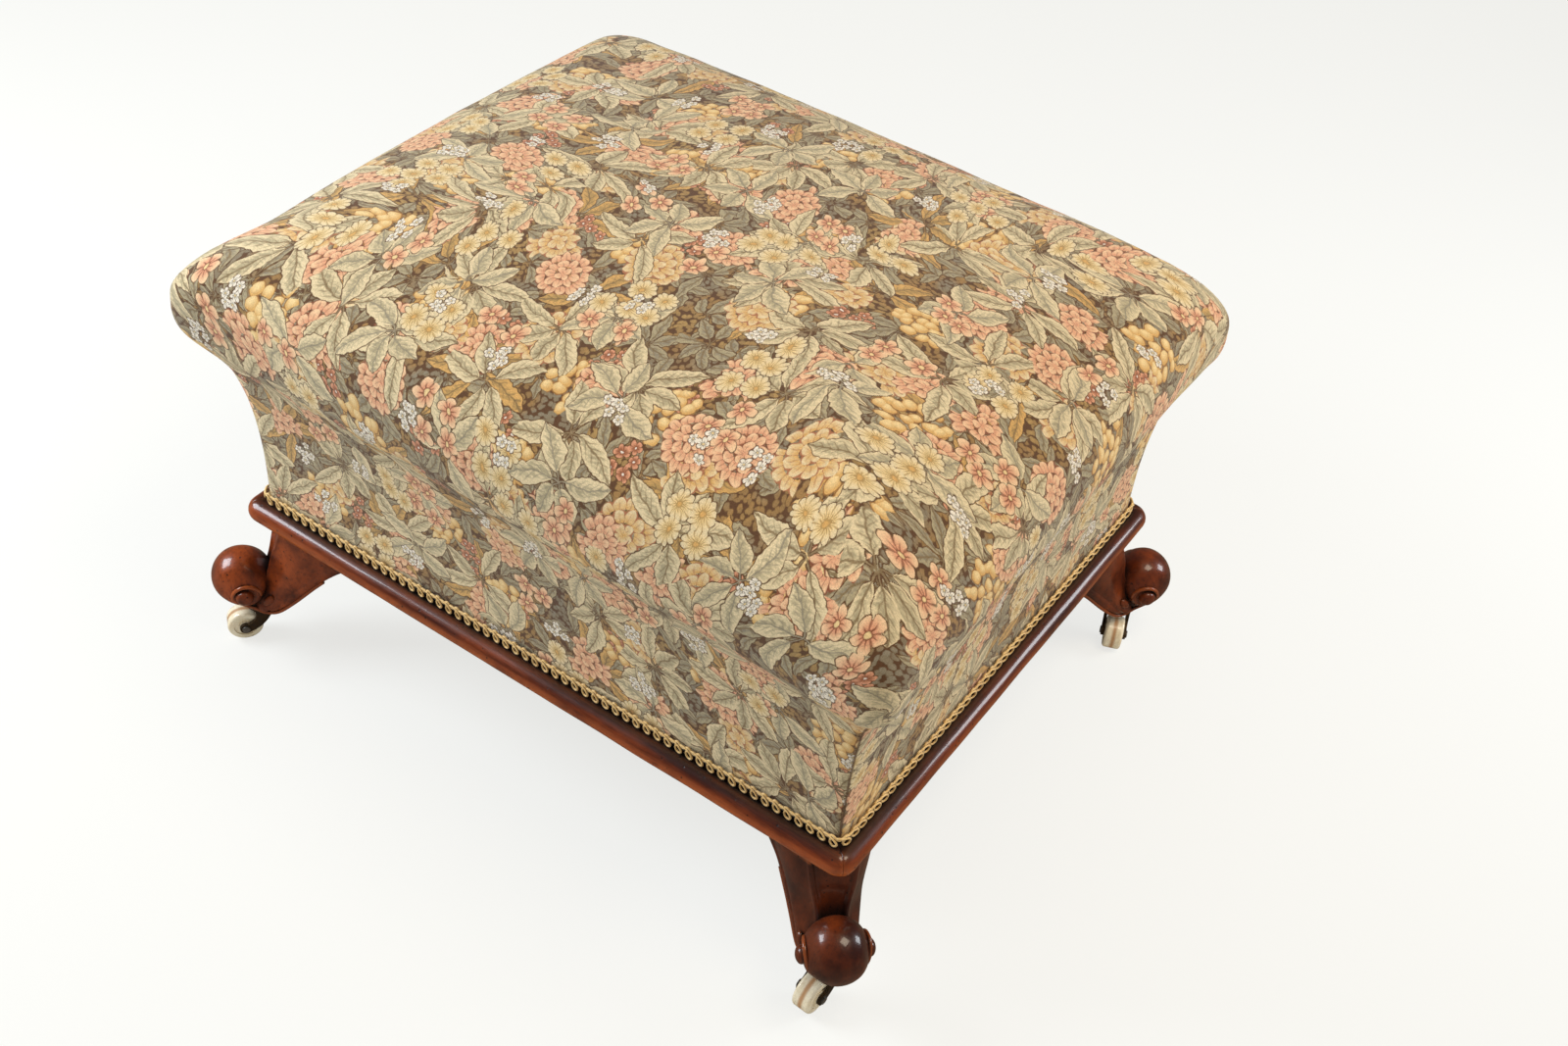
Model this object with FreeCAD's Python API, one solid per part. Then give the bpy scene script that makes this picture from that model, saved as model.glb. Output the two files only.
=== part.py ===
import FreeCAD, Part
import math
import os
from FreeCAD import Placement, Rotation, Vector

# Upholstered footstool with a moulded base frame, four knurl-footed legs and swivelling castors.
# Millimetres, Z up, origin on the floor under the centre, X along the long side.

# Overall sizes, over the base moulding
stool_length = 600.0
stool_width = 488.0
leg_top_height = 126.0

# Base frame
seat_rise = 25.0
rail_width = 60.0
nosing_radius = 10.0
nosing_lip = 2.0
nosing_shoulder = 12.5
ogee_inset = 11.0
ogee_fillet = 3.0
ogee_hollow = 1.5
ogee_start_angle = 60.0
moulding_corner_radius = 14.0
base_block_leg = 45.0

# Cushion outline
waist_inset = 15.5
roll_overhang = 18.0
roll_rise = 192.0
crown_rise = 89.0
waist_corner_radius = 5.0
roll_corner_radius = 18.0
least_corner_radius = 1.5
crown_patch = 24.0

# How many outlines the cushion's loft goes through
cushion_sections = 24

# Upholstery layers
cover_thickness = 2.0
wadding_thickness = 3.0
canvas_thickness = 1.5
canvas_rise = 36.0
canvas_slope_width = 50.0
edge_roll_width = 46.0
edge_roll_rise = 50.0

# Upholstery box
board_foot_thickness = 20.5
board_rise = 151.0
corner_post_side = 30.0
post_top_gap = 4.0

# Webbing and springs
strap_width = 50.0
strap_thickness = 1.2
strap_bearing = 16.0
spring_rows = 3
spring_columns = 3
spring_end_diameter = 86.0
spring_waist_diameter = 54.0
spring_wire = 3.6
spring_turns = 5
spring_seat_gap = 0.3
spring_pitch_x = 140.0
spring_pitch_y = 105.0

# Gimp
gimp_width = 16.0
gimp_thickness = 2.0
gimp_gap = 0.3

# Bottom cloth and its tacks
cloth_thickness = 0.8
cloth_margin = 25.0
cloth_corner_cut = 104.0
tack_head_diameter = 6.0
tack_head_height = 1.0
tack_shank_diameter = 1.6
tack_length = 11.0
tack_edge = 4.0
tack_place_shares = (-5 / 12, -3 / 12, -1 / 12, 1 / 12, 3 / 12, 5 / 12)

# Screws through the base rails into the box
box_screw_diameter = 4.5
box_screw_head = 9.0
box_screw_head_depth = 4.0
box_screw_length = 52.0
box_screw_place_shares = (-4 / 12, 4 / 12)

# Legs, measured along the diagonal outward from the moulding corner and across it
sole_height = 39.0
knurl_reach = 8.0
knurl_rise = 30.0
knurl_diameter = 51.0
eye_diameter = 15.0
eye_spread = 45.0
eye_setback = 2.5
eye_drop = 4.0
leg_back_reach = 105.0
leg_top_width = 92.0
leg_panel_setback = 28.0
leg_panel_width = 40.0
dowel_diameter = 9.0
dowel_length = 40.0
dowel_setback = 50.0
dowel_spread = 32.0

# Castors
wheel_diameter = 30.0
wheel_width = 16.0
wheel_edge = 2.5
wheel_hub_diameter = 12.0
wheel_hub_recess = 1.2
axle_diameter = 4.0
axle_clearance = 0.05
axle_head_diameter = 6.5
axle_head_height = 1.2
castor_trail = 18.0
castor_inset = 4.0
plate_diameter = 30.0
plate_thickness = 3.0
stem_diameter = 8.0
stem_length = 30.0
pintle_diameter = 6.0
pintle_clearance = 0.05
pintle_head_diameter = 9.0
pintle_head_height = 1.5
horn_gap = 0.3
horn_bridge_thickness = 4.2
horn_bridge_diameter = 24.0
horn_cheek_thickness = 2.6
horn_cheek_clearance = 0.5
horn_boss_diameter = 10.0
horn_boss_flat = 2.0
horn_neck_back = 7.0
horn_neck_front = 8.0
horn_curl_back = 1.0
horn_curl_front = 9.0
castor_screw_diameter = 2.4
castor_screw_head = 4.6
castor_screw_length = 14.0
castor_screw_circle = 23.0
castor_screws_per_plate = 3

# Most of a half width that the crown's corners may take
crown_radius_limit_share = 0.8

# One overrun serves every cut
overrun = 5.0

half_length = stool_length / 2
half_width = stool_width / 2
seat_height = leg_top_height + seat_rise
nosing_top = seat_height + nosing_lip
lining = cover_thickness + wadding_thickness
board_face = waist_inset + lining
board_inset = board_face + board_foot_thickness
board_top = seat_height + board_rise
canvas_top = board_top + canvas_thickness
strap_top = seat_height + 2 * strap_thickness
knurl_height = sole_height + knurl_rise
wheel_radius = wheel_diameter / 2
plate_bottom = sole_height - plate_thickness
bridge_top = plate_bottom - horn_gap
bridge_bottom = bridge_top - horn_bridge_thickness
cheek_inside = wheel_width / 2 + horn_cheek_clearance
cheek_outside = cheek_inside + horn_cheek_thickness
stem_reach = -castor_inset * math.sqrt(2)
# Each corner has a name, the signs of its X and Y, and the way its castor trails at rest
corners = (
    ("front_right", 1, -1, -93),
    ("front_left", -1, -1, -128),
    ("back_right", 1, 1, -68),
    ("back_left", -1, 1, -105),
)


def arc(first, middle, last):
    """Edge of the arc through three points."""
    return Part.Arc(first, middle, last).toShape()


def line(first, last):
    """Straight edge."""
    return Part.LineSegment(first, last).toShape()


def box_between(low, high):
    """Box from its lowest to its highest corner."""
    size = high - low
    return Part.makeBox(size.x, size.y, size.z, low)


def rod(diameter, low, high, x, y):
    """Upright cylinder between two heights."""
    return Part.makeCylinder(diameter / 2, high - low, Vector(x, y, low))


def at_corner(shape, sign_x, sign_y):
    """Copy of a corner piece, made for outward u along X and w along Y, set at one corner."""
    angle = math.degrees(math.atan2(sign_y, sign_x))
    place = Placement(Vector(sign_x * half_length, sign_y * half_width, 0), Rotation(Vector(0, 0, 1), angle))
    copy = shape.copy()
    copy.Placement = place.multiply(copy.Placement)
    return copy


def side_edge(first, middle, last):
    """One side of an outline: bowed through its middle, or straight."""
    if abs(first.x - middle.x) * abs(first.y - middle.y) == 0:
        return line(first, last)
    return arc(first, middle, last)


def rounded_outline(offset, height, radius, bow):
    """Closed outline at one height: bowed sides, set out from the moulding edge, and round corners."""
    a = half_length + offset
    b = half_width + offset
    run = radius * (1 - math.cos(math.pi / 4))
    edges = []
    for sign_x, sign_y in ((1, 1), (-1, 1), (-1, -1), (1, -1)):
        on_x_side = Vector(sign_x * (a - bow), sign_y * (b - bow - radius), height)
        on_y_side = Vector(sign_x * (a - bow - radius), sign_y * (b - bow), height)
        tip = Vector(sign_x * (a - bow - run), sign_y * (b - bow - run), height)
        along_y = sign_x == sign_y
        first, last = (on_x_side, on_y_side) if along_y else (on_y_side, on_x_side)
        edges.append(arc(first, tip, last))
        if along_y:
            edges.append(side_edge(last, Vector(0, sign_y * b, height), Vector(-last.x, last.y, height)))
        else:
            edges.append(side_edge(last, Vector(sign_x * a, 0, height), Vector(last.x, -last.y, height)))
    return Part.Wire(edges)


# The sides of the cushion from the seat up to the widest line of the roll:
# share of the way up, share of the way out, share of the way to the roll's corner radius
side_shares = (
    (0.0, 0.0, 0.0),
    (0.28, 0.0, 0.03),
    (0.49, 0.075, 0.12),
    (0.65, 0.21, 0.28),
    (0.77, 0.43, 0.45),
    (0.85, 0.72, 0.68),
    (0.92, 0.93, 0.88),
    (1.0, 1.0, 1.0),
)
# The crown from there to its top patch: share of the way up, share of the way in,
# then corner radius and bow of the sides as shares of the half width left
crown_shares = (
    (0.13, 0.0, 0.0, 0.0),
    (0.25, 0.005, 0.005, 0.0),
    (0.44, 0.030, 0.045, 0.008),
    (0.57, 0.066, 0.12, 0.022),
    (0.71, 0.145, 0.25, 0.045),
    (0.84, 0.30, 0.37, 0.07),
    (0.94, 0.55, 0.41, 0.088),
    (0.99, 0.82, 0.36, 0.10),
    (1.0, 1.0, 0.30, 0.10),
)


def cushion_stations():
    """Offset from the moulding edge, height, corner radius and bow, from the seat to the crown."""
    stations = []
    for up, out, turn in side_shares:
        offset = out * (roll_overhang + waist_inset) - waist_inset
        radius = waist_corner_radius + turn * (roll_corner_radius - waist_corner_radius)
        stations.append((offset, seat_height + up * roll_rise, radius, 0))
    run = half_width + roll_overhang - crown_patch / 2
    roll_height = seat_height + roll_rise
    for up, inward, turn, bow in crown_shares:
        offset = roll_overhang - inward * run
        left = half_width + offset
        radius = min(roll_corner_radius + turn * left, left * crown_radius_limit_share)
        stations.append((offset, roll_height + up * crown_rise, radius, bow * left))
    return stations


def even_stations():
    """The same form at even steps along its outline, so that the loft through them stays fair."""
    stations = cushion_stations()
    outline = Part.BSplineCurve()
    outline.interpolate([Vector(offset, height, 0) for offset, height, _, _ in stations])
    even = []
    for point in outline.discretize(Number=cushion_sections):
        upper = next(place for place, row in enumerate(stations) if row[1] >= point.y or row is stations[-1])
        upper = max(upper, 1)
        below, above = stations[upper - 1], stations[upper]
        share = min(max((point.y - below[1]) / (above[1] - below[1]), 0), 1)
        radius = below[2] + share * (above[2] - below[2])
        bow = below[3] + share * (above[3] - below[3])
        even.append((point.x, point.y, radius, bow))
    return even


def cushion_body(inset):
    """Solid of the whole cushion form, drawn in by an even inset from the cloth's outer face."""
    stations = even_stations()
    last = len(stations) - 1
    outlines = []
    for place, (offset, height, radius, bow) in enumerate(stations):
        before = stations[max(place - 1, 0)]
        after = stations[min(place + 1, last)]
        run = after[0] - before[0]
        rise = after[1] - before[1]
        if place == 0:
            run = 0
        if place == last:
            rise = 0
        slope = math.hypot(run, rise)
        offset -= inset * rise / slope
        height += inset * run / slope
        radius = max(radius - inset, least_corner_radius)
        outlines.append(rounded_outline(offset, height, radius, bow))
    return Part.makeLoft(outlines, True, False)


def prism(points, low, high):
    """Upright prism over a plan polygon given as X and Y pairs."""
    corners_below = [Vector(x, y, low) for x, y in points]
    face = Part.Face(Part.makePolygon(corners_below + corners_below[:1]))
    return face.extrude(Vector(0, 0, high - low))


def plan_block(offset, low, high):
    """Square-cornered block over the whole plan, set out from the moulding edge."""
    a = half_length + offset
    b = half_width + offset
    return prism(((-a, -b), (a, -b), (a, b), (-a, b)), low, high)


def frustum(low_offset, low, high_offset, high):
    """Block with sloping sides between two square-cornered outlines."""
    outlines = []
    for offset, height in ((low_offset, low), (high_offset, high)):
        a = half_length + offset
        b = half_width + offset
        points = [Vector(x, y, height) for x, y in ((-a, -b), (a, -b), (a, b), (-a, b), (-a, -b))]
        outlines.append(Part.makePolygon(points))
    return Part.makeLoft(outlines, True, True)


# Each side has a name and the turn that brings a piece made for the back to it
sides = (("back", 0), ("left", 90), ("front", 180), ("right", -90))


def side_sizes(turn):
    """Half the run along a side, and how far its moulding edge stands from the centre."""
    return (half_length, half_width) if turn in (0, 180) else (half_width, half_length)


def turned(shape, turn):
    """Copy of a piece made for the back, turned to its own side."""
    copy = shape.copy()
    copy.rotate(Vector(0, 0, 0), Vector(0, 0, 1), turn)
    return copy


def mitred_wedge(along, out, outer, inner, low, high):
    """Block of one side between two offsets, mitred at both ends."""
    points = (
        (-along - outer, out + outer),
        (along + outer, out + outer),
        (along + inner, out + inner),
        (-along - inner, out + inner),
    )
    return prism(points, low, high)


def tack_shapes(shank_only):
    """Bottom-cloth tacks along the four sides, or just their shanks."""
    tacks = []
    cloth_bottom = leg_top_height - cloth_thickness
    for _, turn in sides:
        along, out = side_sizes(turn)
        straight = 2 * (along - cloth_margin - cloth_corner_cut)
        for share in tack_place_shares:
            x = share * straight
            y = out - cloth_margin - tack_edge
            tack = rod(tack_shank_diameter, cloth_bottom, cloth_bottom + tack_length, x, y)
            if not shank_only:
                tack = tack.fuse(rod(tack_head_diameter, cloth_bottom - tack_head_height, cloth_bottom, x, y))
            tacks.append(turned(tack, turn))
    return tacks


def box_screw_shapes():
    """Countersunk screws up through the base rails into the boards of the box."""
    screws = []
    for _, turn in sides:
        along, out = side_sizes(turn)
        straight = 2 * (along - cloth_margin - cloth_corner_cut)
        y = out - board_face - board_foot_thickness / 2
        for share in box_screw_place_shares:
            foot = Vector(share * straight, y, leg_top_height)
            head = Part.makeCone(box_screw_head / 2, box_screw_diameter / 2, box_screw_head_depth, foot)
            shank = rod(box_screw_diameter, leg_top_height, leg_top_height + box_screw_length, foot.x, y)
            screws.append(turned(head.fuse(shank), turn))
    return screws


def dowel_shapes():
    """Two dowels over each leg, half in the leg and half in the base rails."""
    dowels = []
    for _, sign_x, sign_y, _ in corners:
        for side in (-1, 1):
            low = leg_top_height - dowel_length / 2
            dowel = rod(dowel_diameter, low, low + dowel_length, -dowel_setback, side * dowel_spread / 2)
            dowels.append(at_corner(dowel, sign_x, sign_y))
    return dowels


def rail_section(out):
    """Face of the moulded base rail: cavetto, half-round nosing, shoulder and seat."""
    nose_height = nosing_top - nosing_radius
    angle = math.radians(ogee_start_angle)

    def point(offset, height):
        return Vector(0, out + offset, height)

    def on_nose(turn):
        return point(nosing_radius * (math.cos(turn) - 1), nose_height + nosing_radius * math.sin(turn))

    foot = point(-ogee_inset, leg_top_height)
    fillet = point(-ogee_inset, leg_top_height + ogee_fillet)
    under_nose = on_nose(-angle)
    over_nose = on_nose(math.pi / 2)
    chord = under_nose - fillet
    inward = Vector(0, -chord.z, chord.y).normalize()
    hollow = fillet + chord * 0.5 + inward * ogee_hollow
    inner_foot = point(-rail_width, leg_top_height)
    inner_seat = point(-rail_width, seat_height)
    shoulder = point(-nosing_shoulder, nosing_top)
    step = point(-nosing_shoulder, seat_height)
    edges = [
        line(inner_foot, foot),
        line(foot, fillet),
        arc(fillet, hollow, under_nose),
        arc(under_nose, on_nose((math.pi / 2 - angle) / 2), over_nose),
        line(over_nose, shoulder),
        line(shoulder, step),
        line(step, inner_seat),
        line(inner_seat, inner_foot),
    ]
    return Part.Face(Part.Wire(edges))


def base_rails(cutters):
    """Four mitred rails with softly rounded outer corners."""
    rounding = Part.Face(rounded_outline(0, leg_top_height, moulding_corner_radius, 0))
    rounding = rounding.extrude(Vector(0, 0, nosing_top - leg_top_height))
    rails = {}
    for name, turn in sides:
        along, out = side_sizes(turn)
        bar = rail_section(out).extrude(Vector(2 * (along + overrun), 0, 0))
        bar.translate(Vector(-along - overrun, 0, 0))
        wedge = mitred_wedge(along, out, overrun, -rail_width, leg_top_height, nosing_top)
        rail = turned(bar.common(wedge), turn).common(rounding)
        rails["base_rail_" + name] = rail.cut(cutters)
    return rails


def base_corner_blocks():
    """Triangular blocks glued inside the corners of the base frame."""
    a = half_length - rail_width
    b = half_width - rail_width
    blocks = []
    for _, x, y, _ in corners:
        points = ((x * a, y * b), (x * (a - base_block_leg), y * b), (x * a, y * (b - base_block_leg)))
        blocks.append(prism(points, leg_top_height, seat_height))
    return blocks


def box_boards(core, cutters):
    """Shaped, mitred boards whose hollow faces draw the cover in."""
    boards = {}
    for name, turn in sides:
        along, out = side_sizes(turn)
        wedge = mitred_wedge(along, out, roll_overhang, -board_inset, seat_height, board_top)
        boards["box_board_" + name] = turned(wedge, turn).common(core).cut(cutters)
    return boards


def box_corner_posts():
    """Square posts glued in the inner corners of the box."""
    a = half_length - board_inset
    b = half_width - board_inset
    posts = []
    for _, x, y, _ in corners:
        points = (
            (x * a, y * b),
            (x * (a - corner_post_side), y * b),
            (x * (a - corner_post_side), y * (b - corner_post_side)),
            (x * a, y * (b - corner_post_side)),
        )
        posts.append(prism(points, seat_height, board_top - post_top_gap))
    return posts


def centred_places(count, pitch):
    """Evenly spaced places about the centre."""
    return [(index - (count - 1) / 2) * pitch for index in range(count)]


def webbing(turn, count, pitch, fold_below):
    """Jute straps across the box on the rails' inner ledge, their ends turned over once."""
    along, out = side_sizes(turn)
    reach = out - rail_width + strap_bearing
    middle = seat_height + strap_thickness
    layer = (middle, strap_top) if fold_below else (seat_height, middle)
    fold = (seat_height, middle) if fold_below else (middle, strap_top)
    straps = []
    for x in centred_places(count, pitch):
        low_x = x - strap_width / 2
        high_x = x + strap_width / 2
        strap = box_between(Vector(low_x, -reach, layer[0]), Vector(high_x, reach, layer[1]))
        for end in (-1, 1):
            first, last = sorted((end * reach, end * (reach - strap_bearing)))
            fold_block = box_between(Vector(low_x, first, fold[0]), Vector(high_x, last, fold[1]))
            strap = strap.fuse(fold_block)
        straps.append(turned(strap.removeSplitter(), turn))
    return straps


def spring_point(turn, low, high):
    """Point and direction of an hourglass spring's wire after so many radians."""
    whole = 2 * math.pi * spring_turns
    ends = (spring_end_diameter - spring_wire) / 2
    waist = (spring_waist_diameter - spring_wire) / 2
    lean = math.cos(2 * math.pi * turn / whole)
    radius = (ends + waist) / 2 + (ends - waist) / 2 * lean
    growth = -(ends - waist) / 2 * math.sin(2 * math.pi * turn / whole) * 2 * math.pi / whole
    place = Vector(radius * math.cos(turn), radius * math.sin(turn), low + (high - low) * turn / whole)
    heading = Vector(
        growth * math.cos(turn) - radius * math.sin(turn),
        growth * math.sin(turn) + radius * math.cos(turn),
        (high - low) / whole,
    )
    return place, heading.normalize()


def tangent_arc(first, heading, last):
    """Arc that leaves a point along a heading and ends at another point."""
    chord = last - first
    angle = chord.getAngle(heading)
    side = (chord.normalize() * heading.dot(chord) - heading)
    length = (last - first).Length
    sagitta = length / 2 * math.tan(angle / 2)
    middle = (first + last) * 0.5 - side.normalize() * sagitta
    return arc(first, middle, last)


def spring_shape(low, high):
    """One hourglass seat spring, an unbroken wire on pairs of tangent arcs."""
    low += spring_wire / 2
    high -= spring_wire / 2
    edges = []
    steps = spring_turns * 4
    for step in range(steps):
        first, start = spring_point(step * math.pi / 2, low, high)
        last, finish = spring_point((step + 1) * math.pi / 2, low, high)
        across = last - first
        both = start + finish
        spread = 2 * (1 - start.dot(finish))
        lean = across.dot(both)
        reach = (math.sqrt(lean * lean + spread * across.dot(across)) - lean) / spread
        joint = (first + start * reach + last - finish * reach) * 0.5
        edges.append(tangent_arc(first, start, joint))
        edges.append(tangent_arc(joint, (last - finish * reach) - joint, last))
    path = Part.Wire(edges)
    first, heading = spring_point(0, low, high)
    section = Part.Wire(Part.makeCircle(spring_wire / 2, first, heading))
    return path.makePipeShell([section], True, False)


def spring_canvas(core):
    """Hessian tacked on the boards and raised in the middle by the springs."""
    flat = plan_block(roll_overhang, board_top, canvas_top).common(core)
    rise = canvas_rise
    raised_inset = board_inset + canvas_slope_width
    over = frustum(-board_inset, canvas_top, -raised_inset, canvas_top + rise)
    under = frustum(-board_inset, board_top, -raised_inset, board_top + rise)
    return flat.fuse(over).cut(under)


def padding(core):
    """Stitched roll round the top edge, and the hair that fills the middle up to the wadding."""
    upper = core.common(plan_block(roll_overhang, canvas_top, canvas_top + roll_rise + crown_rise))
    roll_top = canvas_top + edge_roll_rise
    roll_inset = edge_roll_width + lining - roll_overhang
    ring = plan_block(roll_overhang, canvas_top, roll_top).cut(plan_block(-roll_inset, canvas_top, roll_top))
    raised = frustum(-board_inset, canvas_top, -board_inset - canvas_slope_width, canvas_top + canvas_rise)
    return upper.common(ring), upper.cut(ring).cut(raised)


def gimp_ring():
    """Flat band of braid round the foot of the cover."""
    inside = gimp_gap - waist_inset
    rings = []
    for grow in (0, gimp_thickness):
        outline = rounded_outline(inside + grow, seat_height, waist_corner_radius + grow, 0)
        rings.append(Part.Face(outline).extrude(Vector(0, 0, gimp_width)))
    return rings[1].cut(rings[0])


def bottom_cloth(cutters):
    """Cloth under the base frame, cut across at the legs."""
    a = half_length - cloth_margin
    b = half_width - cloth_margin
    cut = cloth_corner_cut
    points = (
        (-a, -b + cut), (-a + cut, -b), (a - cut, -b), (a, -b + cut),
        (a, b - cut), (a - cut, b), (-a + cut, b), (-a, b - cut),
    )
    return prism(points, leg_top_height - cloth_thickness, leg_top_height).cut(cutters)


# Sections of a leg from its top down to the sole: share of the height; the front panel's
# setback and half width; then the side's middle and the back edge, each as a share of the
# reach back and of half the top width
leg_shares = (
    (1.0, 1.0, 1.0, 0.56, 0.86, 1.0, 1.0),
    (0.76, 0.74, 0.86, 0.457, 0.74, 0.82, 0.87),
    (0.61, 0.625, 0.725, 0.40, 0.67, 0.68, 0.72),
    (0.47, 0.50, 0.645, 0.345, 0.62, 0.548, 0.64),
    (0.31, 0.29, 0.645, 0.238, 0.565, 0.429, 0.565),
    (0.17, 0.075, 0.70, 0.172, 0.54, 0.315, 0.51),
    (0.07, -0.14, 0.70, 0.093, 0.52, 0.238, 0.435),
    (0.0, -0.215, 0.60, 0.075, 0.39, 0.209, 0.305),
)


def leg_section(shares):
    """Outline of the leg at one height, with a flat front and swelling sides."""
    up, front_in, front_out, side_in, side_out, back_in, back_out = shares
    height = sole_height + up * (leg_top_height - sole_height)
    half_top = leg_top_width / 2
    front = Vector(-front_in * leg_panel_setback, front_out * leg_panel_width / 2, height)
    side = Vector(-side_in * leg_back_reach, side_out * half_top, height)
    back = Vector(-back_in * leg_back_reach, back_out * half_top, height)

    def other(point):
        return Vector(point.x, -point.y, point.z)

    edges = [
        line(other(front), front),
        arc(front, side, back),
        line(back, other(back)),
        arc(other(back), other(side), other(front)),
    ]
    return Part.Wire(edges)


def leg_blank():
    """One leg at its own corner: tapering bracket, knurl and two eyes."""
    body = Part.makeLoft([leg_section(shares) for shares in reversed(leg_shares)], True, False)
    knurl = Part.makeSphere(knurl_diameter / 2, Vector(knurl_reach, 0, knurl_height))
    blank = body.fuse(knurl)
    for side in (-1, 1):
        eye_place = Vector(knurl_reach - eye_setback, side * eye_spread / 2, knurl_height - eye_drop)
        blank = blank.fuse(Part.makeSphere(eye_diameter / 2, eye_place))
    below_low = Vector(-leg_back_reach, -leg_top_width, 0)
    below_high = Vector(leg_back_reach, leg_top_width, sole_height)
    return blank.cut(box_between(below_low, below_high))


def castor_screw_shapes():
    """Screws of one plate, their heads countersunk in its underside."""
    screws = []
    for index in range(castor_screws_per_plate):
        turn = 2 * math.pi * index / castor_screws_per_plate
        radius = castor_screw_circle / 2
        foot = Vector(stem_reach + radius * math.cos(turn), radius * math.sin(turn), plate_bottom)
        head_depth = plate_thickness / 2
        head = Part.makeCone(castor_screw_head / 2, castor_screw_diameter / 2, head_depth, foot)
        shank = rod(castor_screw_diameter, foot.z, foot.z + castor_screw_length, foot.x, foot.y)
        screws.append(head.fuse(shank))
    return screws


def castor_plate(screws):
    """Round plate with its stem in the leg and its pintle riveted under the horn."""
    stem = rod(stem_diameter, sole_height, sole_height + stem_length, stem_reach, 0)
    plate = rod(plate_diameter, plate_bottom, sole_height, stem_reach, 0).cut(screws)
    rivet_top = bridge_bottom - horn_gap
    pintle = rod(pintle_diameter, rivet_top, plate_bottom, stem_reach, 0)
    rivet = rod(pintle_head_diameter, rivet_top - pintle_head_height, rivet_top, stem_reach, 0)
    return plate.fuse(stem).fuse(pintle).fuse(rivet).removeSplitter()


def castor_horn():
    """Fork that trails along X from its pintle bore to the axle."""
    hub = Vector(castor_trail, 0, wheel_radius)
    boss = horn_boss_diameter / 2
    rise = math.sqrt(boss * boss - horn_boss_flat * horn_boss_flat)
    middle_height = (bridge_top + wheel_radius) / 2
    back_top = Vector(-horn_neck_back, 0, bridge_top)
    front_top = Vector(horn_neck_front, 0, bridge_top)
    boss_top = hub + Vector(-horn_boss_flat, 0, rise)
    boss_foot = hub + Vector(-horn_boss_flat, 0, -rise)
    edges = [
        line(back_top, front_top),
        arc(front_top, Vector(horn_curl_front, 0, middle_height), boss_top),
        arc(boss_top, hub + Vector(boss, 0, 0), boss_foot),
        arc(boss_foot, Vector(horn_curl_back, 0, middle_height - boss), back_top),
    ]
    outline = Part.Face(Part.Wire(edges))
    outline.translate(Vector(0, cheek_inside, 0))
    cheek = outline.extrude(Vector(0, horn_cheek_thickness, 0))
    bridge = rod(horn_bridge_diameter, bridge_bottom, bridge_top, 0, 0)
    neck_low = Vector(-horn_neck_back, -cheek_outside, bridge_bottom)
    neck = box_between(neck_low, Vector(horn_neck_front, cheek_outside, bridge_top))
    horn = bridge.fuse(neck).fuse(cheek).fuse(cheek.mirror(Vector(0, 0, 0), Vector(0, 1, 0)))
    bore = rod(pintle_diameter + 2 * pintle_clearance, bridge_bottom, bridge_top, 0, 0)
    return horn.cut(bore).cut(axle_rod(axle_diameter, cheek_outside)).removeSplitter()


def axle_rod(diameter, half_run):
    """Rod across the wheel's centre."""
    foot = Vector(castor_trail, -half_run, wheel_radius)
    return Part.makeCylinder(diameter / 2, 2 * half_run, foot, Vector(0, 1, 0))


def castor_axle():
    """Axle through both cheeks, with riveted heads."""
    axle = axle_rod(axle_diameter, cheek_outside)
    heads = axle_rod(axle_head_diameter, cheek_outside + axle_head_height)
    return axle.fuse(heads.cut(axle_rod(axle_head_diameter, cheek_outside)))


def castor_wheel():
    """Ceramic wheel with rounded edges, a dished face each side and its bore."""
    half = wheel_width / 2
    bore = axle_diameter / 2 + axle_clearance
    rim = wheel_radius - wheel_edge
    bend = wheel_edge * math.sqrt(0.5)
    hub = wheel_hub_diameter / 2
    hollow = half - wheel_hub_recess
    points = [
        Vector(0, -half, bore),
        Vector(0, -half, hub),
        Vector(0, -hollow, hub),
        Vector(0, -hollow, rim - wheel_edge),
        Vector(0, -half, rim - wheel_edge),
        Vector(0, -half, rim),
    ]
    mirrored = [Vector(0, -point.y, point.z) for point in reversed(points)]
    tread_start = Vector(0, -half + wheel_edge, wheel_radius)
    tread_end = Vector(0, half - wheel_edge, wheel_radius)
    edges = [line(first, last) for first, last in zip(points, points[1:])]
    edges.append(arc(points[-1], Vector(0, -half + wheel_edge - bend, rim + bend), tread_start))
    edges.append(line(tread_start, tread_end))
    edges.append(arc(tread_end, Vector(0, half - wheel_edge + bend, rim + bend), mirrored[0]))
    edges += [line(first, last) for first, last in zip(mirrored, mirrored[1:])]
    edges.append(line(mirrored[-1], points[0]))
    wheel = Part.Face(Part.Wire(edges)).revolve(Vector(0, 0, 0), Vector(0, 1, 0), 360)
    wheel.translate(Vector(castor_trail, 0, wheel_radius))
    return wheel


def trailing(shape, sign_x, sign_y, angle):
    """Copy of a castor piece at its corner's stem, turned to the way it trails."""
    stem = Vector(sign_x * (half_length - castor_inset), sign_y * (half_width - castor_inset), 0)
    copy = shape.copy()
    copy.rotate(Vector(0, 0, 0), Vector(0, 0, 1), angle)
    copy.translate(stem)
    return copy


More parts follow.
